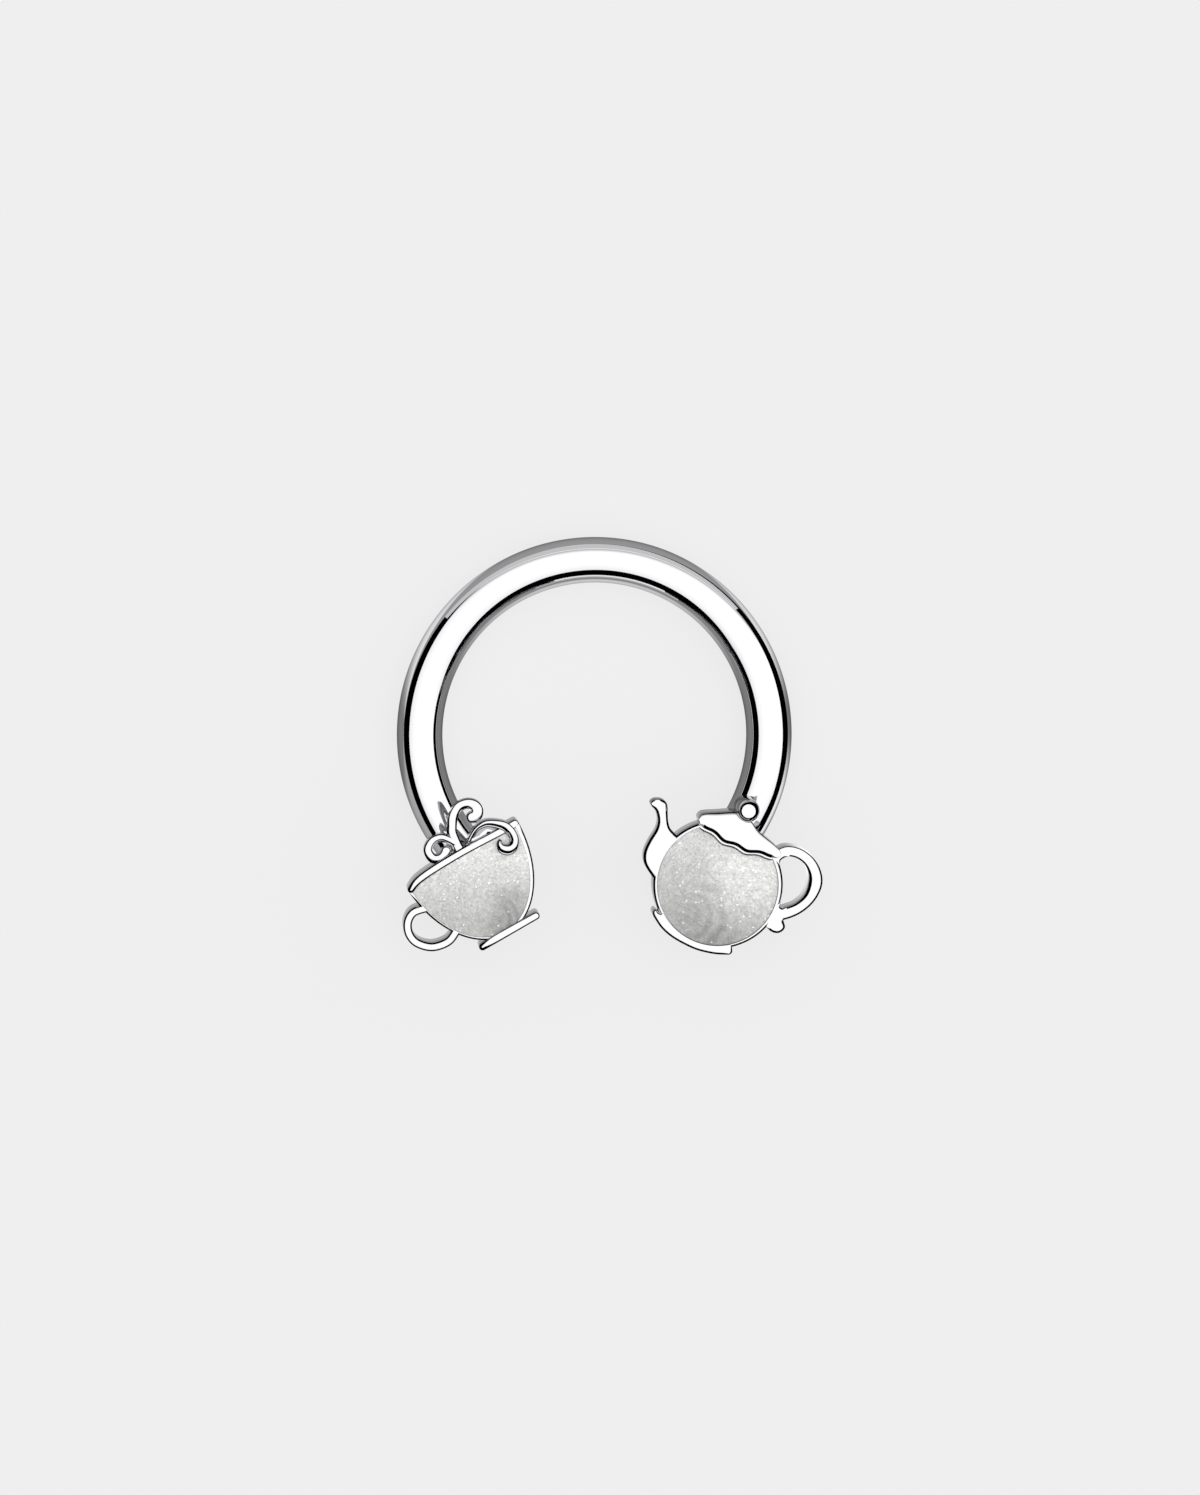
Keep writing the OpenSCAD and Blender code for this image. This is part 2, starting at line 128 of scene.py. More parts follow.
camera = bpy.data.objects.new("camera", bpy.data.cameras.new("camera"))
bpy.context.collection.objects.link(camera)
camera.matrix_world = Matrix.Translation(eye * MM) @ Matrix((right, up, -ahead)).transposed().to_4x4()
camera.data.sensor_width = 36
camera.data.lens = camera.data.sensor_width * (aim - eye).length / (picture_h / pixels_a_mm)
camera.data.clip_start, camera.data.clip_end = 0.01, 20
bpy.context.scene.camera = camera
print("The lens is %.0f mm, %.0f mm above the table" % (camera.data.lens, eye.z))

# %% [markdown]
# ## Looks out of nodes
# The look of a surface in Blender is a tree of nodes: some read the place, some work on it, and a shader at
# the end turns the result into colour and shine. The same few kinds come back again and again, so a handful
# of helpers keeps the steps below short. Images would be another way, but they blur in a close look.

# %% Helpers for nodes
def add_node(tree, kind, feeds=None, **settings):
    """A node with its settings, whose inputs are fed by sockets or plain values"""
    node = tree.nodes.new(kind)
    for key, value in settings.items():
        setattr(node, key, value)
    for key, value in (feeds or {}).items():
        if isinstance(value, bpy.types.NodeSocket):
            tree.links.new(value, node.inputs[key])
        else:
            node.inputs[key].default_value = value
    return node


def spread(tree, value, low, high, to_low, to_high, smooth=False):
    """Maps a value from one range to another, clamped"""
    feeds = {"Value": value, "From Min": low, "From Max": high, "To Min": to_low, "To Max": to_high}
    way = "SMOOTHSTEP" if smooth else "LINEAR"
    return add_node(tree, "ShaderNodeMapRange", feeds, interpolation_type=way).outputs["Result"]


def maths(tree, operation, *values):
    """A sum, a difference or a product of sockets and numbers, two at a time"""
    result = values[0]
    for value in values[1:]:
        node = add_node(tree, "ShaderNodeMath", {0: result, 1: value}, operation=operation)
        result = node.outputs["Value"]
    return result


def split_axes(tree, vector):
    """The three numbers of a vector, called X, Y and Z"""
    return add_node(tree, "ShaderNodeSeparateXYZ", {"Vector": vector}).outputs


# %% Helpers for materials
def new_material(name):
    """A material with an empty node tree"""
    material = bpy.data.materials.new(name)
    material.use_nodes = True
    material.node_tree.nodes.clear()
    return material, material.node_tree


def add_shader(tree, feeds):
    """A principled shader, joined to the material's output"""
    shader = add_node(tree, "ShaderNodeBsdfPrincipled", feeds)
    add_node(tree, "ShaderNodeOutputMaterial", {"Surface": shader.outputs["BSDF"]})
    return shader


# %% [markdown]
# ## The table
# Polished steel has no colour of its own: what we see in it is the studio. Jewellery is often taken on a
# sheet of frosted glass that is lit from below, which clears most of the shadow round the piece, while the
# piece itself still mirrors a darker room. Two sheets do the same here. The camera sees only the upper one,
# and the mirrors see only the lower one. That one glows, a painted reflection set place by place: a middle
# grey round the bar, brighter under the charms and inside the crown, and one more bright patch at the lower
# right. Past the ring's right side it ends, so that side of the steel stays dark.

# %% Two sheets for a table
table_reach, sheet_rough = 3.0, 0.8


def lay_sheet(name, level, right_edge, paint, glow):
    """A wide flat sheet of one matt grey, which glows"""
    material, tree = new_material(name)
    shader = add_shader(tree, {
        "Base Color": (paint, paint, paint, 1), "Roughness": sheet_rough, "Specular IOR Level": 0.0,
        "Emission Color": (1, 1, 1, 1), "Emission Strength": glow})
    material.cycles.emission_sampling = "NONE"
    mesh = bpy.data.meshes.new(name)
    far = table_reach
    corners = [(-far, -far, level), (right_edge, -far, level), (right_edge, far, level), (-far, far, level)]
    mesh.from_pydata(corners, [], [(0, 1, 2, 3)])
    mesh.materials.append(material)
    sheet = bpy.data.objects.new(name, mesh)
    bpy.context.collection.objects.link(sheet)
    return sheet, tree, shader


glass_paint, glass_glow = 0.08, 0.76
glass_sheet, _, _ = lay_sheet("glass_sheet", 0.0, table_reach, glass_paint, glass_glow)
glass_sheet.visible_diffuse = glass_sheet.visible_glossy = glass_sheet.visible_shadow = False
print("The glass sheet glows at %.2f" % glass_glow)

# %% The painted glow of the lower sheet, for the steel to mirror
grey_drop, grey_end, grey_paint = 0.01, 7.4, 0.02
glowing_grey_sheet, sheet_tree, sheet_shader = lay_sheet(
    "glowing_grey_sheet", -grey_drop * MM, grey_end * MM, grey_paint, 0.0)
glowing_grey_sheet.visible_camera = False
sheet_place = split_axes(sheet_tree, add_node(sheet_tree, "ShaderNodeTexCoord").outputs["Object"])


def shade_band(low, high, to_low, to_high, axis="Y"):
    """How the sheet's glow changes between two places along an axis, in millimetres"""
    return spread(sheet_tree, sheet_place[axis], low * MM, high * MM, to_low, to_high, smooth=True)


# The painted reflection: the glow in each place, and the levels between which it changes, from the charms up
# to the crown
under_charms, open_grey, under_crown, beyond_crown = 0.65, 0.33, 1.3, 0.5
charms_end, grey_start = -2.2, -1.0
grey_stop, crown_start = 0.8, 3.6
crown_end, beyond_start = 4.6, 5.2
# A painted patch of brighter glow at the lower right, for the steel to mirror
lower_right_glow, lower_right_from, lower_right_full, lower_right_low, lower_right_high = 0.9, 4.6, 5.6, -1.8, 0.2
lower_right_patch = maths(
    sheet_tree, "MULTIPLY", shade_band(lower_right_from, lower_right_full, 0.0, 1.0, "X"),
    shade_band(lower_right_low, lower_right_high, lower_right_glow, 0.0))
glow = maths(
    sheet_tree, "ADD", shade_band(charms_end, grey_start, under_charms, open_grey),
    shade_band(grey_stop, crown_start, 0.0, under_crown - open_grey),
    shade_band(crown_end, beyond_start, 0.0, beyond_crown - under_crown), lower_right_patch)
sheet_tree.links.new(glow, sheet_shader.inputs["Emission Strength"])
print("The grey sheet glows from %.2f to %.2f" % (open_grey, under_crown))

# %% [markdown]
# ## The light
# The bright band along the bar is a wide soft box overhead, and the black lines beside it are the dark room
# between the soft box and the table. The box is dimmer towards its edges, as real cloth is, and more so on
# the crown's side. There a grey card carries on where the box ends, so that side of the bar fades to light
# grey and has no black line, and a low card faces it from the other side. The two cards would also fill the
# thin dark lines round the charms, so light linking lets them shine on the bar alone. Area lights suit all
# of this: they show in a mirror, and the camera doesn't see them. The world is a pale backdrop for the
# camera alone, so that a look from the side isn't black behind, while the mirrors still see a dark room
# there.

# %% Hanging a light
def hang_light(name, middle, aim_at, width, height, brightness):
    """A rectangular light that shines at a point, as bright whatever its size"""
    data = bpy.data.lights.new(name, "AREA")
    data.shape = "RECTANGLE"
    data.size, data.size_y = width, height
    data.energy = brightness * math.pi * width * height
    lamp = bpy.data.objects.new(name, data)
    bpy.context.collection.objects.link(lamp)
    lamp.location = middle
    lamp.rotation_mode = "QUATERNION"
    lamp.rotation_quaternion = (Vector(aim_at) - Vector(middle)).to_track_quat("-Z", "Y")
    print("%s: %.2f x %.2f m" % (name, width, height))
    return lamp


# %% The soft box, dimmer towards its edges
box_up = 0.5
box_left, box_right, box_near, box_far = -0.725, 1.45, -0.575, 0.98
box_wide, box_deep = box_right - box_left, box_far - box_near
box_middle = ((box_left + box_right) / 2, (box_near + box_far) / 2)
box_glow = 1.8
soft_box = hang_light("soft_box", (*box_middle, box_up), (*box_middle, 0), box_wide, box_deep, box_glow)

soft_box.data.use_nodes = True
cloth_tree = soft_box.data.node_tree
cloth_place = split_axes(cloth_tree, add_node(cloth_tree, "ShaderNodeNewGeometry").outputs["Parametric"])
edge_dim, left_run, near_run = 0.82, 0.5, 0.4
far_dim, far_from, far_to = 0.48, 0.42, 0.80
left_fade = spread(cloth_tree, cloth_place["X"], 0.0, left_run / box_wide, edge_dim, 1.0)
near_fade = spread(cloth_tree, cloth_place["Y"], 0.0, near_run / box_deep, edge_dim, 1.0)
far_fade = spread(cloth_tree, cloth_place["Y"], (far_from - box_near) / box_deep,
                  (far_to - box_near) / box_deep, 1.0, far_dim, smooth=True)
fade = maths(cloth_tree, "MULTIPLY", left_fade, near_fade, far_fade)
cloth_tree.links.new(fade, cloth_tree.nodes["Emission"].inputs["Strength"])

# %% The cards that light the bar alone
def hang_card(name, distance, width, height, brightness):
    """A card that stands on the table and faces the ring: towards the crown, or the other way if negative"""
    return hang_light(name, (0, distance, height / 2), (0, 0, height / 2), width, height, brightness)


grey_card = hang_card("grey_card", 0.9, 2.4, 0.5, 0.95)
fill_card = hang_card("fill_card", -1.2, 2.0, 0.2, 1.4)
bar_only = bpy.data.collections.new("bar_only")
for card in (grey_card, fill_card):
    card.light_linking.receiver_collection = bar_only

# %% The room
backdrop = 0.86
room = bpy.data.worlds.new("dark_room")
bpy.context.scene.world = room
room.use_nodes = True
room.node_tree.nodes["Background"].inputs["Color"].default_value = (backdrop, backdrop, backdrop, 1)
for ray in ("diffuse", "glossy", "transmission"):
    setattr(room.cycles_visibility, ray, False)
bpy.context.scene.view_settings.view_transform = "Standard"
print("The backdrop is %.2f, for the camera alone" % backdrop)

# %% [markdown]
# ## Polished steel
# Surgical steel returns a little over half of the light that falls on it, and loses some more at a glancing
# angle. Its polish isn't perfect: under a loupe there are faint cloudy patches and the finest of lines. Both
# are made with noise, one for roughness and one, drawn out long, for a bump of less than a thousandth of a
# millimetre. The texture reads the object's own coordinates, multiplied to millimetres.

# %% Texture coordinates in millimetres
# Nearly all the numbers of a noise lie between these two
noise_low, noise_high = 0.3, 0.7


def in_millimetres(tree, stretch=(1, 1, 1)):
    """The object's own coordinates in millimetres, drawn out where stretch is small"""
    place = add_node(tree, "ShaderNodeTexCoord").outputs["Object"]
    scale = [s / MM for s in stretch]
    return add_node(tree, "ShaderNodeMapping", {"Vector": place, "Scale": scale}).outputs["Vector"]


def noise(tree, vector, a_mm, detail=2.0):
    """Smooth random numbers and colours"""
    return add_node(tree, "ShaderNodeTexNoise", {"Vector": vector, "Scale": a_mm, "Detail": detail}).outputs


# %% Polished steel
steel_face, steel_glance = (0.56, 0.56, 0.57, 1), (0.45, 0.45, 0.46, 1)
clouds_a_mm, clear, hazy = 2.5, 0.012, 0.03
lines_a_mm, line_stretch, line_deep, line_share = 22.0, 0.15, 0.0005, 0.04
steel, steel_tree = new_material("polished_steel")
clouds = noise(steel_tree, in_millimetres(steel_tree), clouds_a_mm, 3.0)["Fac"]
lines = noise(steel_tree, in_millimetres(steel_tree, (line_stretch, 1, 1)), lines_a_mm)["Fac"]
polish = add_node(steel_tree, "ShaderNodeBump", {
    "Strength": line_share, "Distance": line_deep * MM, "Height": lines})
add_shader(steel_tree, {
    "Base Color": steel_face, "Metallic": 1.0, "Specular Tint": steel_glance,
    "Roughness": spread(steel_tree, clouds, noise_low, noise_high, clear, hazy),
    "Normal": polish.outputs["Normal"]})
print("Steel: roughness %.3f to %.3f" % (clear, hazy))

# %% [markdown]
# ## Glitter enamel
# The enamel is a clear resin stirred with pearl powder and fine glitter. Its tone is lighter towards the
# top, which is painted shading, and it has one soft patch: painted light on the teapot, and darker on the
# teacup. The powder keeps the stirring in a swirl with arcs down its right side and streaks drawn out round
# it. A painted image would fix its size, so each of these is a small formula of the place, and together they
# make one tone. Each grain of glitter is a cell of a Voronoi pattern with a brightness of its own, and a
# sparse second pattern gives the few large flakes, whose glints are painted into the colour. A clear coat on
# top makes it glossy.

# %% Places in the enamel
def vector_maths(tree, operation, *values):
    """A Vector Math node fed by sockets or plain vectors"""
    return add_node(tree, "ShaderNodeVectorMath", dict(enumerate(values)), operation=operation).outputs


def way_from(tree, place, vector):
    """The flat way from a place in millimetres, and how long it is"""
    way = vector_maths(tree, "SUBTRACT", vector, (*place, 0))["Vector"]
    flat = vector_maths(tree, "MULTIPLY", way, (1, 1, 0))["Vector"]
    return flat, vector_maths(tree, "LENGTH", flat)["Value"]


def grains(tree, vector, a_mm):
    """Voronoi cells: the distance from each cell's middle, and a random number for each cell"""
    cells = add_node(tree, "ShaderNodeTexVoronoi", {"Vector": vector, "Scale": a_mm}).outputs
    split = add_node(tree, "ShaderNodeSeparateColor", {"Color": cells["Color"]})
    return cells["Distance"], split.outputs["Red"]


# %% The stirred powder, lighter upwards as painted shading
push_far, push_a_mm, tone_reach, patch_core = 0.5, 1.3, 2.0, 0.15
half_push = Vector((push_far / 2, push_far / 2))


def stirred(tree, millimetres):
    """The place in millimetres, pushed about by noise; on average it moves by half_push"""
    cloud = noise(tree, millimetres, push_a_mm)["Color"]
    return vector_maths(tree, "MULTIPLY_ADD", cloud, (push_far, push_far, 0), millimetres)["Vector"]


def powder_and_shading(tree, place, middle, level, rise, patch_at, patch_size, patch):
    """A level of tone at the middle, a rise for each millimetre upwards, which is painted shading, and a
    soft patch
    """
    low, high = middle.y + half_push.y - tone_reach, middle.y + half_push.y + tone_reach
    change = tone_reach * rise
    painted_slope = spread(tree, split_axes(tree, place)["Y"], low, high, level - change, level + change)
    _, reach = way_from(tree, patch_at + half_push, place)
    soft_patch = spread(tree, reach, patch_core * patch_size, patch_size, patch, 0.0, smooth=True)
    return maths(tree, "ADD", painted_slope, soft_patch)


# %% The swirl
arc_dark, arc_turns, arc_waver = 0.09, 0.95, 0.8
# Where the arcs start and are full towards the right, and start to fade and end outwards, in swirl sizes
right_start, right_full, fade_start, fade_end = -0.3, 0.5, 0.8, 1.4
twist_turn, streak_long, streak_fine = 0.9, 3, 11
streak_low, streak_high = 0.86, 1.13


def arcs(tree, from_swirl, reach, size):
    """How dark the stirred rings round a swirl are: they show on its right side, and fade outwards"""
    rings = add_node(tree, "ShaderNodeTexWave", {
        "Vector": from_swirl, "Scale": arc_turns / size, "Distortion": arc_waver},
        wave_type="RINGS", rings_direction="Z").outputs["Fac"]
    across = split_axes(tree, from_swirl)["X"]
    on_right = spread(tree, across, right_start * size, right_full * size, 0.0, 1.0, smooth=True)
    fading = spread(tree, reach, fade_start * size, fade_end * size, 1.0, 0.0, smooth=True)
    return maths(tree, "MULTIPLY", on_right, fading, rings, arc_dark)


def streaks(tree, from_swirl, reach, size):
    """Streaks: a noise drawn out one way, and twisted round the swirl"""
    turn = maths(tree, "MULTIPLY", reach, twist_turn / size)
    twist = add_node(tree, "ShaderNodeVectorRotate", {"Vector": from_swirl, "Angle": turn},
                     rotation_type="Z_AXIS").outputs["Vector"]
    drawn = vector_maths(tree, "MULTIPLY", twist, (streak_long, streak_fine, 0))["Vector"]
    pattern = noise(tree, drawn, 1.0, 3.0)["Fac"]
    return spread(tree, pattern, noise_low, noise_high, streak_low, streak_high)


# %% The glitter, with the painted glints of its flakes
grains_a_mm, grain_dark, grain_light, grain_rim = 21.0, -0.36, 0.42, 0.2
# The large flakes are real glitter; their glint is painted into the colour as added brightness
flakes_a_mm, painted_flake_glint, flake_rare, flake_full = 12.0, 0.5, 0.86, 0.96
# Distances from a cell's middle, in cells, between which a grain and a flake fade
grain_core, grain_end, flake_core, flake_end = 0.1, 0.7, 0.16, 0.34


def glitter(tree, millimetres):
    """How much the fine grains lighten or darken, how much the flakes' painted glints add, and each grain's
    own number
    """
    grain_reach, grain = grains(tree, millimetres, grains_a_mm)
    fine = maths(tree, "MULTIPLY", spread(tree, grain, 0.0, 1.0, grain_dark, grain_light),
                 spread(tree, grain_reach, grain_core, grain_end, 1.0, grain_rim))
    flake_reach, flake = grains(tree, millimetres, flakes_a_mm)
    few = spread(tree, flake, flake_rare, flake_full, 0.0, 1.0)
    small = spread(tree, flake_reach, flake_core, flake_end, 1.0, 0.0)
    return maths(tree, "ADD", fine, 1.0), maths(tree, "MULTIPLY", few, small, painted_flake_glint), grain


# %% Mixing the enamel
smoothest, roughest, coat, coat_haze = 0.25, 0.6, 0.6, 0.04
tints = {"Red": 1.0, "Green": 0.998, "Blue": 0.985}


def glitter_enamel(name, middle, level, rise, patch_at, patch_size, patch, swirl_at, swirl_size):
    """Pearl enamel: the tone with its painted shading, less the arcs, times the streaks and the grains, with
    the flakes' painted glints on top
    """
    enamel, tree = new_material(name)
    millimetres = in_millimetres(tree)
    place = stirred(tree, millimetres)
    tone = powder_and_shading(tree, place, middle, level, rise, patch_at, patch_size, patch)
    from_swirl, reach = way_from(tree, swirl_at + half_push, place)
    tone = maths(tree, "SUBTRACT", tone, arcs(tree, from_swirl, reach, swirl_size))
    fine, flake_glints, grain = glitter(tree, millimetres)
    tone = maths(tree, "MULTIPLY", tone, streaks(tree, from_swirl, reach, swirl_size), fine)
    tone = maths(tree, "ADD", tone, flake_glints)
    colour = add_node(tree, "ShaderNodeCombineColor", {
        channel: maths(tree, "MULTIPLY", tone, tint) for channel, tint in tints.items()})
    add_shader(tree, {
        "Base Color": colour.outputs["Color"],
        "Roughness": spread(tree, grain, 0.0, 1.0, smoothest, roughest),
        "Coat Weight": coat, "Coat Roughness": coat_haze})
    print("%s: tone %.2f in its middle" % (name, level))
    return enamel


# The rise paints each enamel lighter towards the top, as shading; the teapot's soft patch is a painted
# lighter patch on its right, and the cup's is darker
pot_enamel_paint = glitter_enamel(
    "pot_enamel_glitter", pot_at, level=0.388, rise=0.096, patch_at=pot_at + Vector((0.9, 0)),
    patch_size=1.8, patch=0.18, swirl_at=pot_at + Vector((-0.68, -0.83)), swirl_size=1.05)
cup_enamel_paint = glitter_enamel(
    "cup_enamel_glitter", cup_at, level=0.47, rise=0.114, patch_at=cup_at + Vector((0.75, -0.60)),
    patch_size=1.1, patch=-0.12, swirl_at=cup_at + Vector((0.30, -0.77)), swirl_size=0.75)

# %% [markdown]
# ## Drawing curves by hand
# The outlines of both charms are free curves, so each is drawn as a few given points, and a smooth
# curve is run through them. The Catmull-Rom rule is used for that, because its curve goes through every
# point that it is given. A Bezier curve would need two handles for each of them.

# %% Smooth curves
STEPS = 8


def smooth(rows, steps=STEPS):
    """Rows of numbers, with more rows between them on smooth curves"""
    fine = []
    last = len(rows) - 1
    for i in range(last):
        before, here, there, after = (rows[max(i - 1, 0)], rows[i], rows[i + 1], rows[min(i + 2, last)])
        for step in range(steps):
            t = step / steps
            fine.append([
                (2 * b + (c - a) * t + (2 * a - 5 * b + 4 * c - d) * t ** 2
                 + (3 * b - a - 3 * c + d) * t ** 3) / 2
                for a, b, c, d in zip(before, here, there, after)])
    fine.append(list(rows[last]))
    return fine


def sized(rows, x_size, y_size, width):
    """Shares turned to millimetres: x and y of two lengths, and half the width of a third"""
    return [(x * x_size, y * y_size, half * width, *rest) for x, y, half, *rest in rows]


# %% [markdown]
# ## Building with rows of points
# A casting has no sharp edges: the mould and the polishing wheel round them all, and those worked edges are
# what draw the thin dark lines round each form. So each form is built from a profile that runs from the
# middle of its top, which is a little crowned, over a narrow facet at 39.5 degrees, down the wall and under
# to the middle of its back. That facet mirrors the dark room between the soft box and the table, from
# whichever side it is seen, and so it draws the thin black line. A wider facet draws a bolder line. The
# profile is swept along a curve, and turned about the curve's end to round it off.

# %% The edge of a cast form
FACET_TILT = math.radians(39.5)
ARC_STEPS, CROWN_STEPS, HEEL_STEPS = 5, 5, 3
print("Edges are worked at %.1f degrees" % math.degrees(FACET_TILT))


def edge_path(width, start, first=0.01, last=0.01):
    """The way from the front's edge to the wall, outwards and down: an arc, a facet and an arc"""
    path = [(0.0, 0.0)]
    for i in range(1, ARC_STEPS + 1):
        turn = start + (FACET_TILT - start) * i / ARC_STEPS
        path.append((first * (math.sin(turn) - math.sin(start)), first * (math.cos(start) - math.cos(turn))))
    out, down = path[-1][0] + width, path[-1][1] + width * math.tan(FACET_TILT)
    for i in range(ARC_STEPS + 1):
        turn = FACET_TILT + (math.pi / 2 - FACET_TILT) * i / ARC_STEPS
        path.append((out + last * (math.sin(turn) - math.sin(FACET_TILT)),
                     down + last * (math.cos(FACET_TILT) - math.cos(turn))))
    return path


def heel_path(heel):
    """The way round the back's edge, inwards and down"""
    turns = [math.pi / 2 * i / HEEL_STEPS for i in range(HEEL_STEPS + 1)]
    return [(heel * (1 - math.cos(turn)), heel * (math.sin(turn) - 1)) for turn in turns]


# %% The profile of a cast form
MOST_WORKED = 0.85


def profile(half, low, high, edge, tilt=8.0, heel=0.05, first=0.01, last=0.01):
    """Distances from the middle and heights, from the top's middle round to the back's middle"""
    tilt = math.radians(tilt)
    path = edge_path(edge, tilt, first, last)
    shrink = min(1.0, MOST_WORKED * half / path[-1][0])
    flat = half - path[-1][0] * shrink
    drop = flat * math.tan(tilt) / 2
    points = [(flat * i / CROWN_STEPS, high - drop * (i / CROWN_STEPS) ** 2) for i in range(CROWN_STEPS)]
    points += [(flat + out * shrink, high - drop - down * shrink) for out, down in path]
    points += [(half - into, low - down) for into, down in heel_path(min(heel, half / 2))]
    return points + [(0.0, low)]


# %% Objects from points and faces
def new_object(name, points, faces):
    """A closed form in millimetres, with its faces turned outwards"""
    mesh = bpy.data.meshes.new(name)
    mesh.from_pydata([tuple(p) for p in points], [], faces)
    skin = bmesh.new()
    skin.from_mesh(mesh)
    bmesh.ops.remove_doubles(skin, verts=skin.verts, dist=1e-6)
    bmesh.ops.recalc_face_normals(skin, faces=skin.faces)
    skin.to_mesh(mesh)
    skin.free()
    made = bpy.data.objects.new(name, mesh)
    bpy.context.collection.objects.link(made)
    return made


def turned(points, faces, middle, outlines, directions, closed):
    """Adds a profile turned about an upright axis through middle; each direction has its own outline"""
    top, bottom = len(points), len(points) + 1
    points += [(*middle, outlines[0][0][1]), (*middle, outlines[0][-1][1])]
    rows = []
    for direction, outline in zip(directions, outlines):
        rows.append(range(len(points), len(points) + len(outline) - 2))
        points += [(*(middle + direction * reach), height) for reach, height in outline[1:-1]]
    pairs = list(zip(rows, rows[1:] + rows[:1] if closed else rows[1:]))
    for a, b in pairs:
        faces.append((top, a[0], b[0]))
        faces.append((a[-1], bottom, b[-1]))
        faces += [(a[j], a[j + 1], b[j + 1], b[j]) for j in range(len(a) - 1)]


def lathe(name, middle, outline, segments=96):
    """A round form turned about an upright axis"""
    points, faces = [], []
    turns = [2 * math.pi * i / segments for i in range(segments)]
    turned(points, faces, Vector(middle), [outline] * segments,
           [Vector((math.cos(t), math.sin(t))) for t in turns], True)
    return new_object(name, points, faces)


# %% Bands: handles, rods and curls
END_STEPS = 12


def band(name, rows, low, high, edge, round_start=False, round_end=False, tilt=8.0, heel=0.05, first=0.01):
    """A rod along given rows of x, y and half width. A row may go on with how wide the facets on its
    right and its left are, as shares of the edge, and with a rise above the top level"""
    curve = [row + [1.0, 1.0, 0.0][len(row) - 3:] for row in smooth([list(row) for row in rows])]
    middles = [Vector(r[:2]) for r in curve]
    last = len(curve) - 1
    alongs = [(middles[min(i + 1, last)] - middles[max(i - 1, 0)]).normalized() for i in range(last + 1)]

    def side(row, share):
        return profile(row[2], low, high + row[5], edge * share, tilt, heel, first)

    points, faces, rings = [], [], []
    for row, middle, along in zip(curve, middles, alongs):
        left = Vector((-along.y, along.x))
        ring = [(*(middle - left * reach), height) for reach, height in side(row, row[3])]
        ring += [(*(middle + left * reach), height) for reach, height in reversed(side(row, row[4])[1:-1])]
        rings.append(range(len(points), len(points) + len(ring)))
        points += ring
    for a, b in zip(rings, rings[1:]):
        faces += [(a[j], a[j - 1], b[j - 1], b[j]) for j in range(len(a))]
    for at_start, rounded in ((True, round_start), (False, round_end)):
        i = 0 if at_start else last
        if not rounded:
            faces.append(tuple(rings[i]))
            continue
        along = -alongs[i] if at_start else alongs[i]
        near, far = (curve[i][4], curve[i][3]) if at_start else (curve[i][3], curve[i][4])
        left = Vector((-along.y, along.x))
        shares = [k / END_STEPS for k in range(END_STEPS + 1)]
        ways = [-left * math.cos(math.pi * t) + along * math.sin(math.pi * t) for t in shares]
        outlines = [side(curve[i], near + (far - near) * t) for t in shares]
        turned(points, faces, middles[i], outlines, ways, False)
    return new_object(name, points, faces)


# %% Slabs: lid, spout and plates
def anticlockwise(outline):
    """A closed outline as vectors that run anticlockwise"""
    outline = [Vector(p[:2]) for p in outline]
    if sum(a.x * b.y - b.x * a.y for a, b in zip(outline, outline[1:] + outline[:1])) < 0:
        outline.reverse()
    return outline


def ways_in(outline):
    """For each point of an anticlockwise outline, the direction straight inwards"""
    ways = []
    for i, here in enumerate(outline):
        before = (here - outline[i - 1]).normalized()
        after = (outline[(i + 1) % len(outline)] - here).normalized()
        ways.append(Vector((-before.y - after.y, before.x + after.x)).normalized())
    return ways


BALL_SHARE = 0.8


def room_inside(outline, ways, wanted, near=3):
    """How large a rounding each point has room for: the ball that touches the outline there, and fits"""
    room = []
    for p, way in zip(outline, ways):
        fits = wanted
        for q in outline:
            depth = (q - p).dot(way)
            if depth > 1e-6:
                fits = min(fits, BALL_SHARE * (q - p).length_squared / (2 * depth))
        room.append(fits)
    count = len(room)
    least = [min(room[(i + k) % count] for k in range(-near, near + 1)) for i in range(count)]
    return [sum(least[(i + k) % count] for k in range(-near, near + 1)) / (2 * near + 1)
            for i in range(count)]


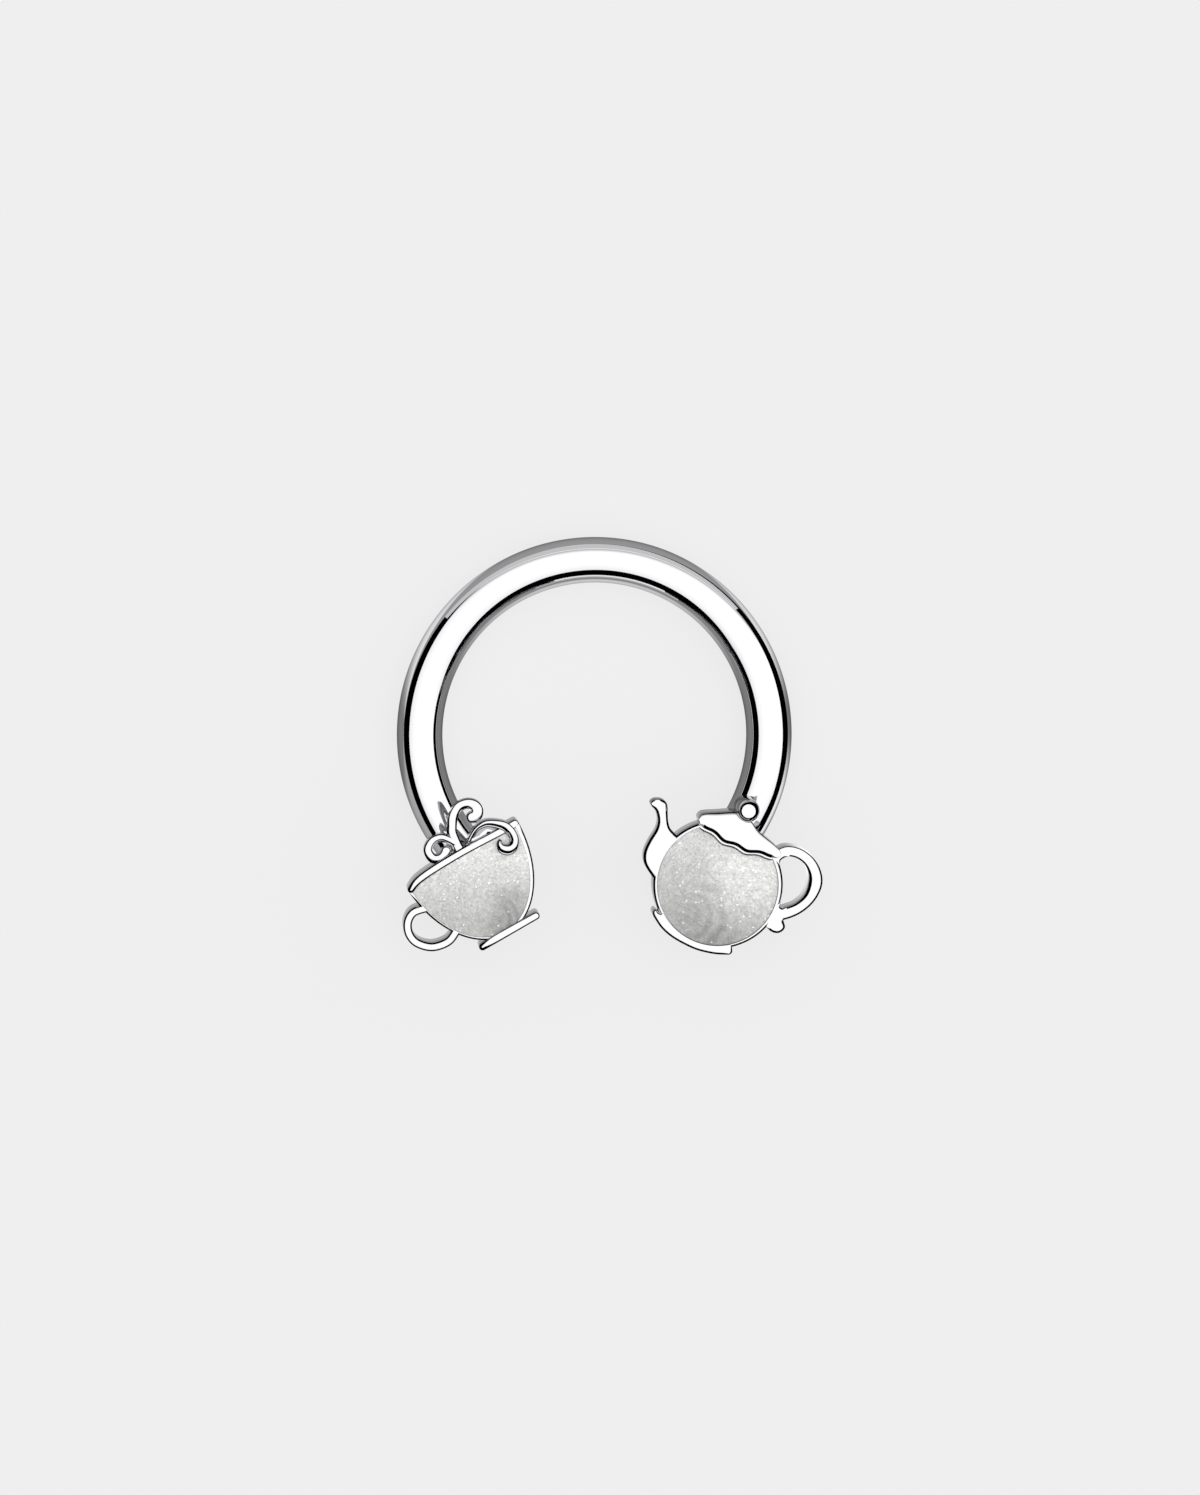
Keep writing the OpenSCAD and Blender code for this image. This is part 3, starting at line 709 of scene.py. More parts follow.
def slab(name, outline, low, high, edge, heel=0.05, first=0.01):
    """A flat form inside an anticlockwise outline, with its edges worked as far as there is room. The edge
    is one width or a width for each point, and a point of width 0 keeps a sharp edge"""
    outline = [Vector(p[:2]) for p in outline]
    count = len(outline)
    widths = list(edge) if isinstance(edge, (list, tuple)) else [edge] * count
    ways = ways_in(outline)
    insets = [[(0.0, high)] for p in outline]
    if max(widths) > 0:
        firsts = list(first) if isinstance(first, (list, tuple)) else [first] * count
        paths = [edge_path(width, 0.0, arc) for width, arc in zip(widths, firsts)]
        room = room_inside(outline, ways, max(path[-1][0] for path in paths))
        shrinks = [min(1.0, fits / path[-1][0]) if width else 0.0
                   for fits, path, width in zip(room, paths, widths)]
        insets = [[((path[-1][0] - out) * k, high - down * k) for out, down in path]
                  for path, k in zip(paths, shrinks)]
    heels = [[(0.0, 0.0)]] * count
    if heel:
        heels = [heel_path(min(heel, inset[0][0] / 2)) for inset in insets]
    rings = [[(*(p + way * inset[k][0]), inset[k][1]) for p, way, inset in zip(outline, ways, insets)]
             for k in range(len(insets[0]))]
    rings += [[(*(p + way * under[k][0]), low - under[k][1]) for p, way, under in zip(outline, ways, heels)]
              for k in range(len(heels[0]))]
    points = [point for ring in rings for point in ring]
    faces = []
    for k in range(len(rings) - 1):
        upper, lower = k * count, (k + 1) * count
        faces += [(upper + j, upper + (j + 1) % count, lower + (j + 1) % count, lower + j)
                  for j in range(count)]
    faces += [tuple(range(count)), tuple(range(len(points) - count, len(points)))]
    return new_object(name, points, faces)


# %% [markdown]
# ## From forms to one casting
# A real charm is cast in one piece, so its forms have to grow together into one skin, with nothing left
# inside. Booleans do that: the forms are joined one by one, and the pocket and the bore are cut out. Faces
# that lie exactly in one plane are hard on a boolean, so each form stands a few thousandths of a millimetre
# apart from the last. Afterwards only the real creases are marked sharp, and the normals are weighted by
# face size, which keeps the flats flat in a mirror finish.

# %% Joining and cutting
HAIR = 0.002


def hair(step):
    """A few thousandths of a millimetre, different for each step"""
    return HAIR * step


def combine(whole, other, operation):
    """One boolean step, which uses up the other object"""
    step = whole.modifiers.new("step", "BOOLEAN")
    step.operation, step.object, step.solver = operation, other, "MANIFOLD"
    mesh = bpy.data.meshes.new_from_object(whole.evaluated_get(bpy.context.evaluated_depsgraph_get()))
    whole.modifiers.clear()
    old, whole.data = whole.data, mesh
    bpy.data.meshes.remove(old)
    bpy.data.objects.remove(other)
    whole.data.update()
    return whole


def fuse(forms, cutters=()):
    """Joins the forms into one and cuts the cutters out of it"""
    whole = forms[0]
    for form in forms[1:]:
        combine(whole, form, "UNION")
    for cutter in cutters:
        combine(whole, cutter, "DIFFERENCE")
    return whole


def put(thing, matrix):
    """Moves the points of a form, which keeps every form's own axes at the frame's origin"""
    thing.data.transform(matrix)
    thing.data.update()
    return thing


def finish_piece(thing, name, material, node, crease=32):
    """Shrinks a finished piece to metres, smooths it and hands it to the frame"""
    thing.name = thing.data.name = name
    thing.data.transform(Matrix.Scale(MM, 4))
    thing.data.materials.clear()
    thing.data.materials.append(material)
    thing.data.shade_smooth()
    thing.data.set_sharp_from_angle(angle=math.radians(crease))
    weighted = thing.modifiers.new("weighted_normals", "WEIGHTED_NORMAL")
    weighted.keep_sharp = True
    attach(thing, "root")
    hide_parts(node)
    print("%s: %d faces" % (name, len(thing.data.polygons)))
    return thing


# %% [markdown]
# ## The bar
# The bar is one length of round steel, bent to an open ring. It could be a curve with a round bevel, but
# then its ends would be bare discs. A mesh swept along the same arc can also carry the step down to the thin
# pin on each end, which goes into the charm. The bar is 256 rings long, so that its reflections are smooth.

# %% Where the bar ends
seat_land = 0.12


def seat_reach(boss_d):
    """How far from a boss's middle the bar ends against its flat seat"""
    return math.sqrt((boss_d / 2) ** 2 - (bar_r + seat_land) ** 2)


def on_ring(turn):
    """The frame of a place on the ring: out, along and up"""
    return (Matrix.Translation((*ring_at, 0)) @ Matrix.Rotation(turn, 4, "Z")
            @ Matrix.Translation((ring_r, 0, bar_r)))


pot_end = -pot_angle + seat_reach(pot_boss_d) / ring_r
cup_end = math.pi + cup_angle - seat_reach(cup_boss_d) / ring_r
print("The bar is bent through %.0f degrees" % math.degrees(cup_end - pot_end))

# %% The stations along the bar
bar_steps, bar_sides, bar_edge = 256, 64, 0.03
pin_r, bend = pin_d / 2, bar_edge / ring_r
round_turns = (0.4, 0.8, 1.2)


def bar_tip(turn, way):
    """From the pin's end to the bar: frames, how far along they are moved, and radii"""
    rows = [(pin_len, pin_r - bar_edge), (pin_len - bar_edge, pin_r), (0.0, pin_r), (0.0, bar_r - bar_edge)]
    rows += [(-bar_edge * math.sin(t), bar_r - bar_edge * (1 - math.sin(t))) for t in round_turns]
    return [(on_ring(turn), way * reach, radius) for reach, radius in rows]


stations = bar_tip(pot_end, -1)
stations += [(on_ring(pot_end + bend + (cup_end - pot_end - 2 * bend) * i / bar_steps), 0.0, bar_r)
             for i in range(bar_steps + 1)]
stations += bar_tip(cup_end, 1)[::-1]

# %% The bar
points, faces = [], []
for place, along, radius in stations:
    for side in range(bar_sides):
        turn = 2 * math.pi * side / bar_sides
        points.append(place @ Vector((radius * math.cos(turn), along, radius * math.sin(turn))))
for k in range(len(stations) - 1):
    a, b = k * bar_sides, (k + 1) * bar_sides
    faces += [(a + j, a + (j + 1) % bar_sides, b + (j + 1) % bar_sides, b + j) for j in range(bar_sides)]
faces += [tuple(range(bar_sides)), tuple(range(len(points) - bar_sides, len(points)))]
bar = finish_piece(new_object("bar_polished", points, faces), "bar_polished", steel, "bar")
bar_only.objects.link(bar)

# %% [markdown]
# ## Behind the charms
# The back of a charm can't be seen in the picture. It is finished plainly: a round boss, as thick as the
# bar, with a flat seat for the bar's end and a bore for its pin.

# %% Bosses and bores
overlap, boss_edge, boss_heel = 0.1, 0.01, 0.06


def boss(turn, way, boss_d):
    """A round boss with a flat seat, beside the end of the bar"""
    middle = on_ring(turn) @ Vector((0, way * seat_reach(boss_d), -bar_r))
    outline = profile(boss_d / 2, 0.0, plate_back + overlap, boss_edge, 0.0, boss_heel)
    post = lathe("boss", middle.xy, outline)
    cutter = new_object("seat", *box_points(boss_d))
    put(cutter, on_ring(turn) @ Matrix.Translation((0, way * (pin_gap - boss_d), 0)))
    return combine(post, cutter, "DIFFERENCE")


def box_points(size):
    """A cube of twice the size, about the origin"""
    corners = [(x * size, y * size, z * size) for x in (-1, 1) for y in (-1, 1) for z in (-1, 1)]
    return corners, [(0, 1, 3, 2), (4, 6, 7, 5), (0, 4, 5, 1), (2, 3, 7, 6), (0, 2, 6, 4), (1, 5, 7, 3)]


def bore(turn, way):
    """The space of a pin, with its clearance"""
    length, radius = pin_len + pin_gap + overlap, pin_d / 2 + pin_gap
    shape = lathe("bore", (0, 0), [(0, length), (radius, length), (radius, 0), (0, 0)], 48)
    lying = on_ring(turn) @ Matrix.Rotation(-way * math.pi / 2, 4, "X")
    return put(shape, lying @ Matrix.Translation((0, 0, -overlap)))


# %% [markdown]
# ## The teapot
# The teapot is a round plate with a thin rim round a pocket. The spout grows out of its left, the ear handle
# out of its right, and a foot runs along the bottom. Their tops all lie level with the rim's, so that the
# polished front runs on from one to the next. A circle turned about an axis would do for the plate, but the
# real rim is a little fuller on the right and drawn in at the lower right, so the plate is a slab instead.
# Each form has its own width of worked edge, because the real one's outline is bolder on some of them.

# %% The belly and its pocket
pot_r, pot_rim, rim_edge = 1.59, 0.10, 0.047
pot_out = pot_r + pot_rim
# Angle in degrees, and radius as a share of pot_out
rim_rows = [
    (-200, 1.0), (-110, 1.0), (-70, 0.995), (-45, 0.990), (-15, 1.001), (15, 1.010), (45, 1.010), (90, 1.0),
    (160, 1.0)]
rim_turns = [(math.radians(turn), share * pot_out) for turn, share in smooth(rim_rows, 24)[:-1]]
rim_points = [Vector((reach * math.cos(turn), reach * math.sin(turn))) for turn, reach in rim_turns]
belly = slab("belly", rim_points, plate_back, front, rim_edge)
mouth_soft, mouth_step = 0.006, 0.02


def pocket_mouth(radius):
    """The profile of a cutter, with a soft mouth where it leaves the front"""
    mouth = [(radius + mouth_soft * (1 - math.cos(t)), front - mouth_soft * (1 - math.sin(t)))
             for t in (0, *round_turns)]
    wide = mouth[-1][0] + mouth_step
    above = [(0, front + 1), (wide, front + 1), (wide, front + mouth_step)]
    return above + mouth[::-1] + [(radius, pocket_floor), (0, pocket_floor)]


pot_pocket = lathe("pot_pocket", (0, 0), pocket_mouth(pot_r), 192)
print("The teapot's plate is %.2f mm across" % (2 * pot_out))

# %% The spout
# Left edge x and y, right edge x and y, as shares of the rim's radius
spout_rows = [
    (-0.85, -0.37, -0.79, 0.50), (-0.95, -0.335, -0.87, 0.43), (-1.16, -0.205, -0.92, 0.42),
    (-1.25, -0.05, -0.97, 0.435), (-1.262, 0.14, -1.04, 0.465), (-1.243, 0.35, -1.09, 0.51),
    (-1.27, 0.49, -1.135, 0.57), (-1.36, 0.61, -1.185, 0.66), (-1.45, 0.65, -1.225, 0.74),
    (-1.492, 0.685, -1.275, 0.800), (-1.485, 0.735, -1.345, 0.815), (-1.45, 0.775, -1.40, 0.80)]
spout_thick, spout_edge, spout_soft = 0.8, 0.052, 0.1
spout_curve = [[v * pot_out for v in row] for row in smooth(spout_rows)]
spout_outline = anticlockwise([row[:2] for row in spout_curve] + [row[2:] for row in reversed(spout_curve)])
spout = slab("spout", spout_outline, front - spout_thick, front + hair(1), spout_edge, first=spout_soft)
print("The spout's outline has %d points" % len(spout_outline))

# %% The handle and the foot
# x, y, half width, and how wide the worked edges on the inside and the outside are, all as shares
pot_handle_rows = [
    (0.62, 0.78, 0.5, 0.8, 0.4), (0.73, 0.93, 0.48, 0.8, 0.4), (0.91, 0.985, 0.47, 0.8, 0.4),
    (1.11, 0.95, 0.50, 0.9, 0.6), (1.275, 0.828, 0.58, 1.3, 0.9), (1.362, 0.662, 0.63, 1.6, 1),
    (1.373, 0.44, 0.54, 1.4, 1), (1.293, 0.23, 0.51, 1, 1), (1.15, 0.065, 0.54, 0.9, 1),
    (0.96, -0.075, 0.56, 0.9, 1)]
pot_handle_w, pot_handle_edge = 0.283, 0.048
pot_handle = band("handle", sized(pot_handle_rows, pot_out, pot_out, pot_handle_w),
                  plate_back + hair(1), front + hair(2), pot_handle_edge)
foot_outside_rows = [
    (-0.595, -0.79), (-0.655, -0.772), (-0.700, -0.765), (-0.722, -0.795), (-0.705, -0.85),
    (-0.627, -0.908), (-0.485, -0.986), (-0.298, -1.038), (-0.085, -1.057), (0.156, -1.050),
    (0.412, -0.992), (0.60, -0.915), (0.645, -0.885), (0.66, -0.835), (0.61, -0.755)]
foot_inside_rows = [(0.55, -0.71), (0.30, -0.85), (0.0, -0.90), (-0.30, -0.85), (-0.54, -0.72)]
foot_edge, hidden_edge = 0.05, 0.004
foot_outside = [Vector(row) * pot_out for row in smooth(foot_outside_rows)]
foot_inside = [Vector(row) * pot_out for row in smooth(foot_inside_rows)]
foot_edges = [foot_edge] * len(foot_outside) + [hidden_edge] * len(foot_inside)
pot_foot = slab("foot", anticlockwise(foot_outside + foot_inside), plate_back + hair(2), front + hair(3),
                foot_edges)
print("The foot's outline has %d points" % len(foot_edges))

# %% [markdown]
# ## Where the teapot's handle ends
# On the real casting the handle flows into the rim at both ends, and at the lower one a small thumb stop
# grows out of the joint, with no line between them. Forms that are only joined would keep their black
# outlines right across each other. So two thin slabs are laid over the joints, a hair higher, and only the
# stretches of their outlines that are free are worked. The others stay sharp and are too low to be seen.
# A small round body under the stop makes it as deep as the handle.

# %% The thumb stop, and the fillets where the handle meets the rim
stop_free = [
    (0.967, -0.262), (1.025, -0.283), (1.098, -0.290), (1.170, -0.267), (1.219, -0.209), (1.230, -0.140),
    (1.195, -0.090), (1.144, -0.056)]
stop_across = [(1.141, -0.046), (1.13, 0.05), (1.122, 0.138)]
stop_corner = [(1.119, 0.150), (1.06, 0.112), (1.018, 0.120), (0.998, 0.185)]
stop_inside = [(0.990, 0.178), (0.945, 0.10), (0.95, -0.05), (0.93, -0.20), (0.960, -0.252)]
tip_corner = [(0.735, 0.700), (0.714, 0.735), (0.716, 0.785), (0.75, 0.838), (0.80, 0.873)]
tip_inside = [
    (0.800, 0.885), (0.80, 0.96), (0.70, 0.95), (0.60, 0.86), (0.56, 0.77), (0.63, 0.705), (0.722, 0.700)]
fillet_deep, stop_edge, corner_edge = 0.25, 0.055, 0.036


def fillet(name, top, stretches):
    """A slab out of stretches of its outline, anticlockwise: those with an edge are smooth and worked"""
    outline, edges = [], []
    for rows, edge in stretches:
        part = [Vector(row) * pot_out for row in (smooth(rows) if edge else rows)]
        outline += part
        edges += [edge] * len(part)
    return slab(name, outline, front - fillet_deep, top, edges)


thumb_stop = fillet("thumb_stop", front + hair(4), [
    (stop_free, stop_edge), (stop_across, 0.0), (stop_corner, corner_edge), (stop_inside, 0.0)])
tip_fillet = fillet("tip_fillet", front + hair(3.5), [(tip_corner, corner_edge), (tip_inside, 0.0)])
body_at, body_d, body_drop, body_edge = Vector((1.09, -0.145)) * pot_out, 0.4, 0.1, 0.02
stop_body = lathe("stop_body", body_at,
                  profile(body_d / 2, plate_back + hair(3), front - body_drop, body_edge), 48)
print("The thumb stop has %d faces" % len(thumb_stop.data.polygons))

# %% [markdown]
# ## The lid
# The lid is a thicker slab, whose lower edge waves like a shell, and the knob is a flattened ball on a post.
# The wave is a cosine on a shallow bend, so one short formula draws it. Under it runs a narrow ledge,
# whose shadow makes the bold dark line over the enamel. Towards the lid's right tip its worked edge fades
# out, because there the real lid runs into the handle.

# %% The lid's outline
lid_top_rows = [
    (-0.725, 0.80), (-0.72, 0.86), (-0.67, 0.92), (-0.50, 1.015), (-0.27, 1.14), (-0.12, 1.16),
    (0.03, 1.12), (0.20, 1.03), (0.51, 0.95), (0.63, 0.90), (0.67, 0.84)]
lid_low, lid_dip, lid_bend, lid_tuck = 0.655, -0.09, 0.27, 0.94
scallop_deep, scallop_long, scallop_at = 0.018, 0.39, -0.225
lid_rise, knob_d, knob_rise = 0.26, 0.58, 0.2


def lid_edge(x):
    """Level of the lid's scalloped lower edge at a share x of the rim's radius"""
    wave = scallop_deep * math.cos(2 * math.pi * (x - scallop_at) / scallop_long)
    return lid_low + lid_bend * (x - lid_dip) ** 2 - wave


lid_steps = 90
lid_left, lid_right = lid_top_rows[0][0] * lid_tuck, lid_top_rows[-1][0] * lid_tuck
lid_xs = [lid_left + (lid_right - lid_left) * i / lid_steps for i in range(lid_steps + 1)]
lid_below = [Vector((x, lid_edge(x))) * pot_out for x in lid_xs]
lid_above = [Vector(row) * pot_out for row in smooth(lid_top_rows)]
lid_outline = lid_below + lid_above[::-1]
print("The lid's outline has %d points" % len(lid_outline))

# %% The lid and its ledge
lower_edge, lower_soft, upper_edge, upper_soft, lid_lift = 0.075, 0.05, 0.014, 0.3, 0.05
tip_at, fade_long, least_edge = 0.64 * pot_out, 0.12, 0.06
lid_edges = [lower_edge] * len(lid_below) + [upper_edge] * len(lid_above)
tip_fade = [min(1.0, max(least_edge, (tip_at - p.x) / fade_long)) for p in lid_outline]
lid_edges = [edge * fade for edge, fade in zip(lid_edges, tip_fade)]
lid_softs = [lower_soft] * len(lid_below) + [upper_soft] * len(lid_above)
lid = slab("lid", lid_outline, plate_back + lid_lift, front + lid_rise, lid_edges, first=lid_softs)

ledge_drop, ledge_w, ledge_sunk, ledge_edge = 0.085, 0.2, 0.02, 0.03
ledge_below = [p - Vector((0, ledge_drop)) for p in lid_below]
ledge = slab("ledge", ledge_below + [p + Vector((0, ledge_w)) for p in lid_below[::-1]],
             pocket_floor - overlap, front - ledge_sunk, ledge_edge, 0)

# %% The knob
knob_at = Vector((-0.095, 1.25)) * pot_out
knob_edge, knob_tilt, knob_soft, knob_lift, knob_fuller = 0.03, 16.0, 0.25, 0.02, 0.012
knob_top, knob_r = front + lid_rise + knob_rise, knob_d / 2 + knob_fuller
knob_outline = profile(knob_r, plate_back + knob_lift, knob_top, knob_edge, knob_tilt, last=knob_soft)
knob = lathe("knob", knob_at, knob_outline, 64)
print("The knob is %.2f mm across" % (2 * knob_r))

# %% One casting out of the teapot's forms
pot_forms = (belly, spout, pot_handle, pot_foot, stop_body, thumb_stop, tip_fillet)
pot_plate = [put(form, on_pot) for form in pot_forms] + [boss(pot_end, -1, pot_boss_d)]
teapot = fuse(pot_plate, [put(pot_pocket, on_pot), bore(pot_end, -1)])
teapot = fuse([teapot] + [put(form, on_pot) for form in (ledge, lid, knob)])
finish_piece(teapot, "teapot_casting", steel, "teapot")

# %% [markdown]
# ## The teapot's enamel
# Liquid enamel creeps a little up the wall of its pocket and stands highest in the middle, like a very flat
# drop. So it is a lens: a dome of a large radius over a flat floor. A real filling touches the metal. Here a
# gap of six thousandths of a millimetre is left, far too fine to see, so that the two meshes never cross.
# Under the lid and its ledge the enamel ends, so the same outline is cut from it, grown by that gap.

# %% A dome of enamel
enamel_gap, enamel_drop, enamel_swell = 0.006, 0.05, 0.1


def dome(name, radius, stretch, segments=192, rings=24):
    """A flat lens of enamel over a round floor, drawn out along y by stretch"""
    rim_level, floor_level = front - enamel_drop, pocket_floor + enamel_gap
    points = [(radius * i / rings, rim_level + enamel_swell * (1 - (i / rings) ** 2))
              for i in range(rings + 1)]
    shape = lathe(name, (0, 0), points + [(radius, floor_level), (0, floor_level)], segments)
    return put(shape, Matrix.Diagonal((1, stretch, 1, 1)))


# %% The teapot's enamel
pot_fill = dome("pot_fill", pot_r - enamel_gap, 1.0)
covered = [p - Vector((0, enamel_gap)) for p in ledge_below]
far_left, far_right, far_up = covered[0].x - 1, covered[-1].x + 1, 3
covered = ([Vector((far_left, covered[0].y))] + covered
           + [Vector((far_right, covered[-1].y)), Vector((far_right, far_up)), Vector((far_left, far_up))])
lid_shade = slab("lid_shade", anticlockwise(covered), pocket_floor - 0.5, front + 1, 0, 0)
pot_fill = fuse([put(pot_fill, on_pot)], [put(lid_shade, on_pot)])
finish_piece(pot_fill, "teapot_enamel_fill", pot_enamel_paint, "teapot_enamel")

# %% [markdown]
# ## The teacup
# The teacup is half an ellipse under a curved lip. Its plate, pocket and enamel all share that outline, each
# drawn in a little further, so one function draws it for all three. The lip and the foot stand a little
# above the rim. Only the lip's right end sinks down, because there the real lip runs into the rim.

# %% The bowl's outline
cup_rim, lip_w, foot_w, lip_rise, rim_shift = 0.09, 0.2, 0.19, 0.1, -0.025
bowl_swell, bowl_past, closest = 1.03, 0.35, 0.004
foot_level = foot_w / 4 - cup_depth
# x, y, half width, the worked edge's shares below and above, and rise
lip_rows = sized([
    (-0.95, -0.90, 0.44, 0.8, 1, 0), (-0.79, -0.35, 0.49, 0.6, 0.6, 0),
    (-0.49, -0.08, 0.5, 0.45, 0.5, 0), (0.04, 0.0, 0.5, 0.4, 0.5, 0),
    (0.70, -0.20, 0.5, 0.35, 0.4, 0), (0.94, -0.25, 0.47, 0.05, 0.35, -0.098)], cup_r, lip_w, lip_w)
lip_curve = smooth(lip_rows)


def mouth_level(x):
    """Level of the bowl's mouth, a quarter of the lip's width under the lip's middle"""
    if x <= lip_curve[0][0]:
        return lip_curve[0][1] - lip_w / 4
    for (x0, y0, *_), (x1, y1, *_) in zip(lip_curve, lip_curve[1:]):
        if x <= x1:
            return y0 + (y1 - y0) * (x - x0) / (x1 - x0) - lip_w / 4
    return lip_curve[-1][1] - lip_w / 4


def bowl_outline(inset, shift, low, steps=240, mouth_steps=60):
    """The bowl's outline from its mouth round the foot, drawn in by an inset"""
    wide, deep = cup_r - inset, bowl_swell * cup_depth - inset
    under = []
    for i in range(steps + 1):
        turn = math.pi - bowl_past + (math.pi + 2 * bowl_past) * i / steps
        x, y = wide * math.cos(turn) + shift, deep * math.sin(turn)
        if y < mouth_level(x):
            under.append(Vector((x, max(y, low))))
    first, last = under[0], under[-1]
    mouth = [Vector((last.x + (first.x - last.x) * i / mouth_steps, 0)) for i in range(mouth_steps + 1)]
    mouth = [Vector((p.x, mouth_level(p.x))) for p in mouth]
    whole = under + mouth
    return [p for i, p in enumerate(whole) if (p - whole[i - 1]).length > closest]


# %% The bowl, its pocket and its handle
bowl_points = bowl_outline(0, 0, foot_level)
bowl_edge, bowl_bolder, cup_handle_w, cup_handle_edge = 0.038, 0.008, 0.225, 0.040
bowl_edges = [bowl_edge + bowl_bolder * min(1.0, max(0.0, -p.x / cup_r)) for p in bowl_points]
bowl = slab("bowl", bowl_points, plate_back, front, bowl_edges)
pocket_points = bowl_outline(cup_rim, rim_shift, foot_level)
cup_pocket = slab("cup_pocket", pocket_points, pocket_floor, front + 0.5, 0, 0)
cup_handle_rows = [
    (-0.90, -0.335, 0.5), (-1.09, -0.31, 0.5), (-1.23, -0.36, 0.5), (-1.31, -0.46, 0.5), (-1.31, -0.57, 0.5),
    (-1.24, -0.66, 0.5), (-1.12, -0.735, 0.5), (-0.97, -0.77, 0.5), (-0.82, -0.77, 0.5), (-0.67, -0.72, 0.5)]
cup_handle = band("cup_handle", sized(cup_handle_rows, cup_r, cup_depth, cup_handle_w),
                  plate_back + hair(1), front + hair(1), cup_handle_edge)
print("The bowl's outline has %d points, its pocket's %d" % (len(bowl_points), len(pocket_points)))

# %% The lip and the foot
lip_edge, cup_foot_edge, lip_tilt = 0.07, 0.052, 12.0
lip = band("lip", lip_rows, plate_back + hair(2), front + lip_rise, lip_edge, True, True, lip_tilt)
cup_foot_rows = sized([
    (-0.44, -1.01, 0.5, 1.5, 1.2), (-0.25, -1.01, 0.5, 0.8, 0.1), (0.1, -1.01, 0.5, 0.65, 0.1),
    (0.51, -1.01, 0.5, 0.65, 0.4)], cup_r, cup_depth, foot_w)
cup_foot = band("cup_foot", cup_foot_rows, plate_back + hair(3), front + lip_rise + hair(1),
                cup_foot_edge, True, True, lip_tilt)
print("The lip and the foot stand %.2f mm above the rim" % lip_rise)

# %% [markdown]
# ## The steam
# Three curls of steam rise from the cup: a stem that ends in a hook, a small curl to the left, and a larger
# one that starts on the lip and hooks back over the enamel. Each swells and thins on its way, so a round
# wire along a curve would not do, and they are bands with a half width for every point. Their tops are
# crowned more than the handles, so that their middles stay bright between grey sides. The shares say where
# the real outline is bold and where it is fine.

# %% The stem and the left curl
steam_w, steam_full, steam_t, stem_rise = 0.22, 1.12, 0.5, 0.05
steam_edge, steam_tilt, steam_soft = 0.052, 24.0, 0.05
steam_wide, steam_back, stem_top = steam_full * steam_w, front - steam_t, front + stem_rise
stem_rows = sized([
    (-0.01, -0.02, 0.57, 0.6, 1), (0.024, 0.300, 0.55, 0.6, 1.1), (0.084, 0.42, 0.52, 0.7, 0.9),
    (0.16, 0.52, 0.52, 1, 0.5), (0.235, 0.578, 0.52, 1.3, 0.35), (0.325, 0.618, 0.52, 1.5, 0.3),
    (0.417, 0.614, 0.52, 1.5, 0.3), (0.491, 0.582, 0.53, 1.1, 0.3), (0.543, 0.522, 0.56, 0.6, 0.4),
    (0.553, 0.450, 0.59, 0.4, 0.5), (0.515, 0.390, 0.62, 0.4, 0.8), (0.462, 0.366, 0.63, 0.4, 1),
    (0.418, 0.378, 0.60, 0.4, 1)], cup_r, cup_r, steam_wide)
left_curl_rows = sized([
    (0.00, 0.15, 0.40, 0.6, 1.2), (-0.06, 0.255, 0.43, 0.6, 1.3), (-0.135, 0.339, 0.44, 0.5, 1.4),
    (-0.217, 0.368, 0.45, 0.5, 1.4), (-0.296, 0.367, 0.45, 0.5, 1.1), (-0.374, 0.333, 0.45, 0.6, 0.8),
    (-0.42, 0.286, 0.46, 0.7, 0.6), (-0.436, 0.222, 0.47, 1, 0.5), (-0.429, 0.153, 0.48, 1.4, 0.4),
    (-0.398, 0.11, 0.48, 1.7, 0.4), (-0.34, 0.083, 0.48, 1.8, 0.4), (-0.28, 0.08, 0.48, 1.7, 0.4),
    (-0.215, 0.105, 0.51, 1.2, 0.4), (-0.178, 0.135, 0.52, 0.8, 0.4)], cup_r, cup_r, steam_wide)
stem = band("stem", stem_rows, steam_back, stem_top, steam_edge, False, True, steam_tilt, first=steam_soft)
left_curl = band("left_curl", left_curl_rows, steam_back + hair(2), stem_top + hair(2),
                 steam_edge, False, True, steam_tilt, first=steam_soft)
print("The steam stands %.2f mm above the cup's middle" % (max(row[1] for row in stem_rows) + steam_w / 2))

# %% [markdown]
# The right curl stands highest of all. Its rows are shares of a reach that keeps its bulge clear of the rim.
# A lower step peeps out from under it, down and to the left, which draws its second outline, and a thin web
# of metal fills the hollow behind it.

# %% The right curl, its step and its web
curl_rise, curl_clear, curl_bulge, curl_edge = 0.26, 0.04, 0.82, 0.057
curl_reach = (cup_r - cup_rim - rim_shift - 2 * enamel_gap - steam_w / 2 - curl_clear) / curl_bulge
right_curl_shares = [
    (0.184, 0.106, 0.16, 0.5, 0.6), (0.251, 0.154, 0.17, 0.5, 0.6), (0.338, 0.203, 0.20, 0.6, 0.6),
    (0.432, 0.223, 0.23, 0.8, 0.5), (0.539, 0.211, 0.28, 0.9, 0.4), (0.644, 0.143, 0.33, 0.9, 0.35),
    (0.742, 0.043, 0.40, 1, 0.3), (0.778, -0.052, 0.44, 1.2, 0.3), (0.786, -0.144, 0.44, 1.3, 0.3),
    (0.769, -0.233, 0.45, 1.3, 0.4), (0.717, -0.301, 0.45, 1, 0.6), (0.643, -0.320, 0.45, 0.5, 1),
    (0.587, -0.291, 0.44, 0.4, 1.1), (0.549, -0.237, 0.39, 0.4, 1.1), (0.549, -0.175, 0.28, 0.4, 1),
    (0.572, -0.144, 0.20, 0.5, 0.9)]
right_curl_rows = sized(right_curl_shares, curl_reach, cup_r, steam_wide)
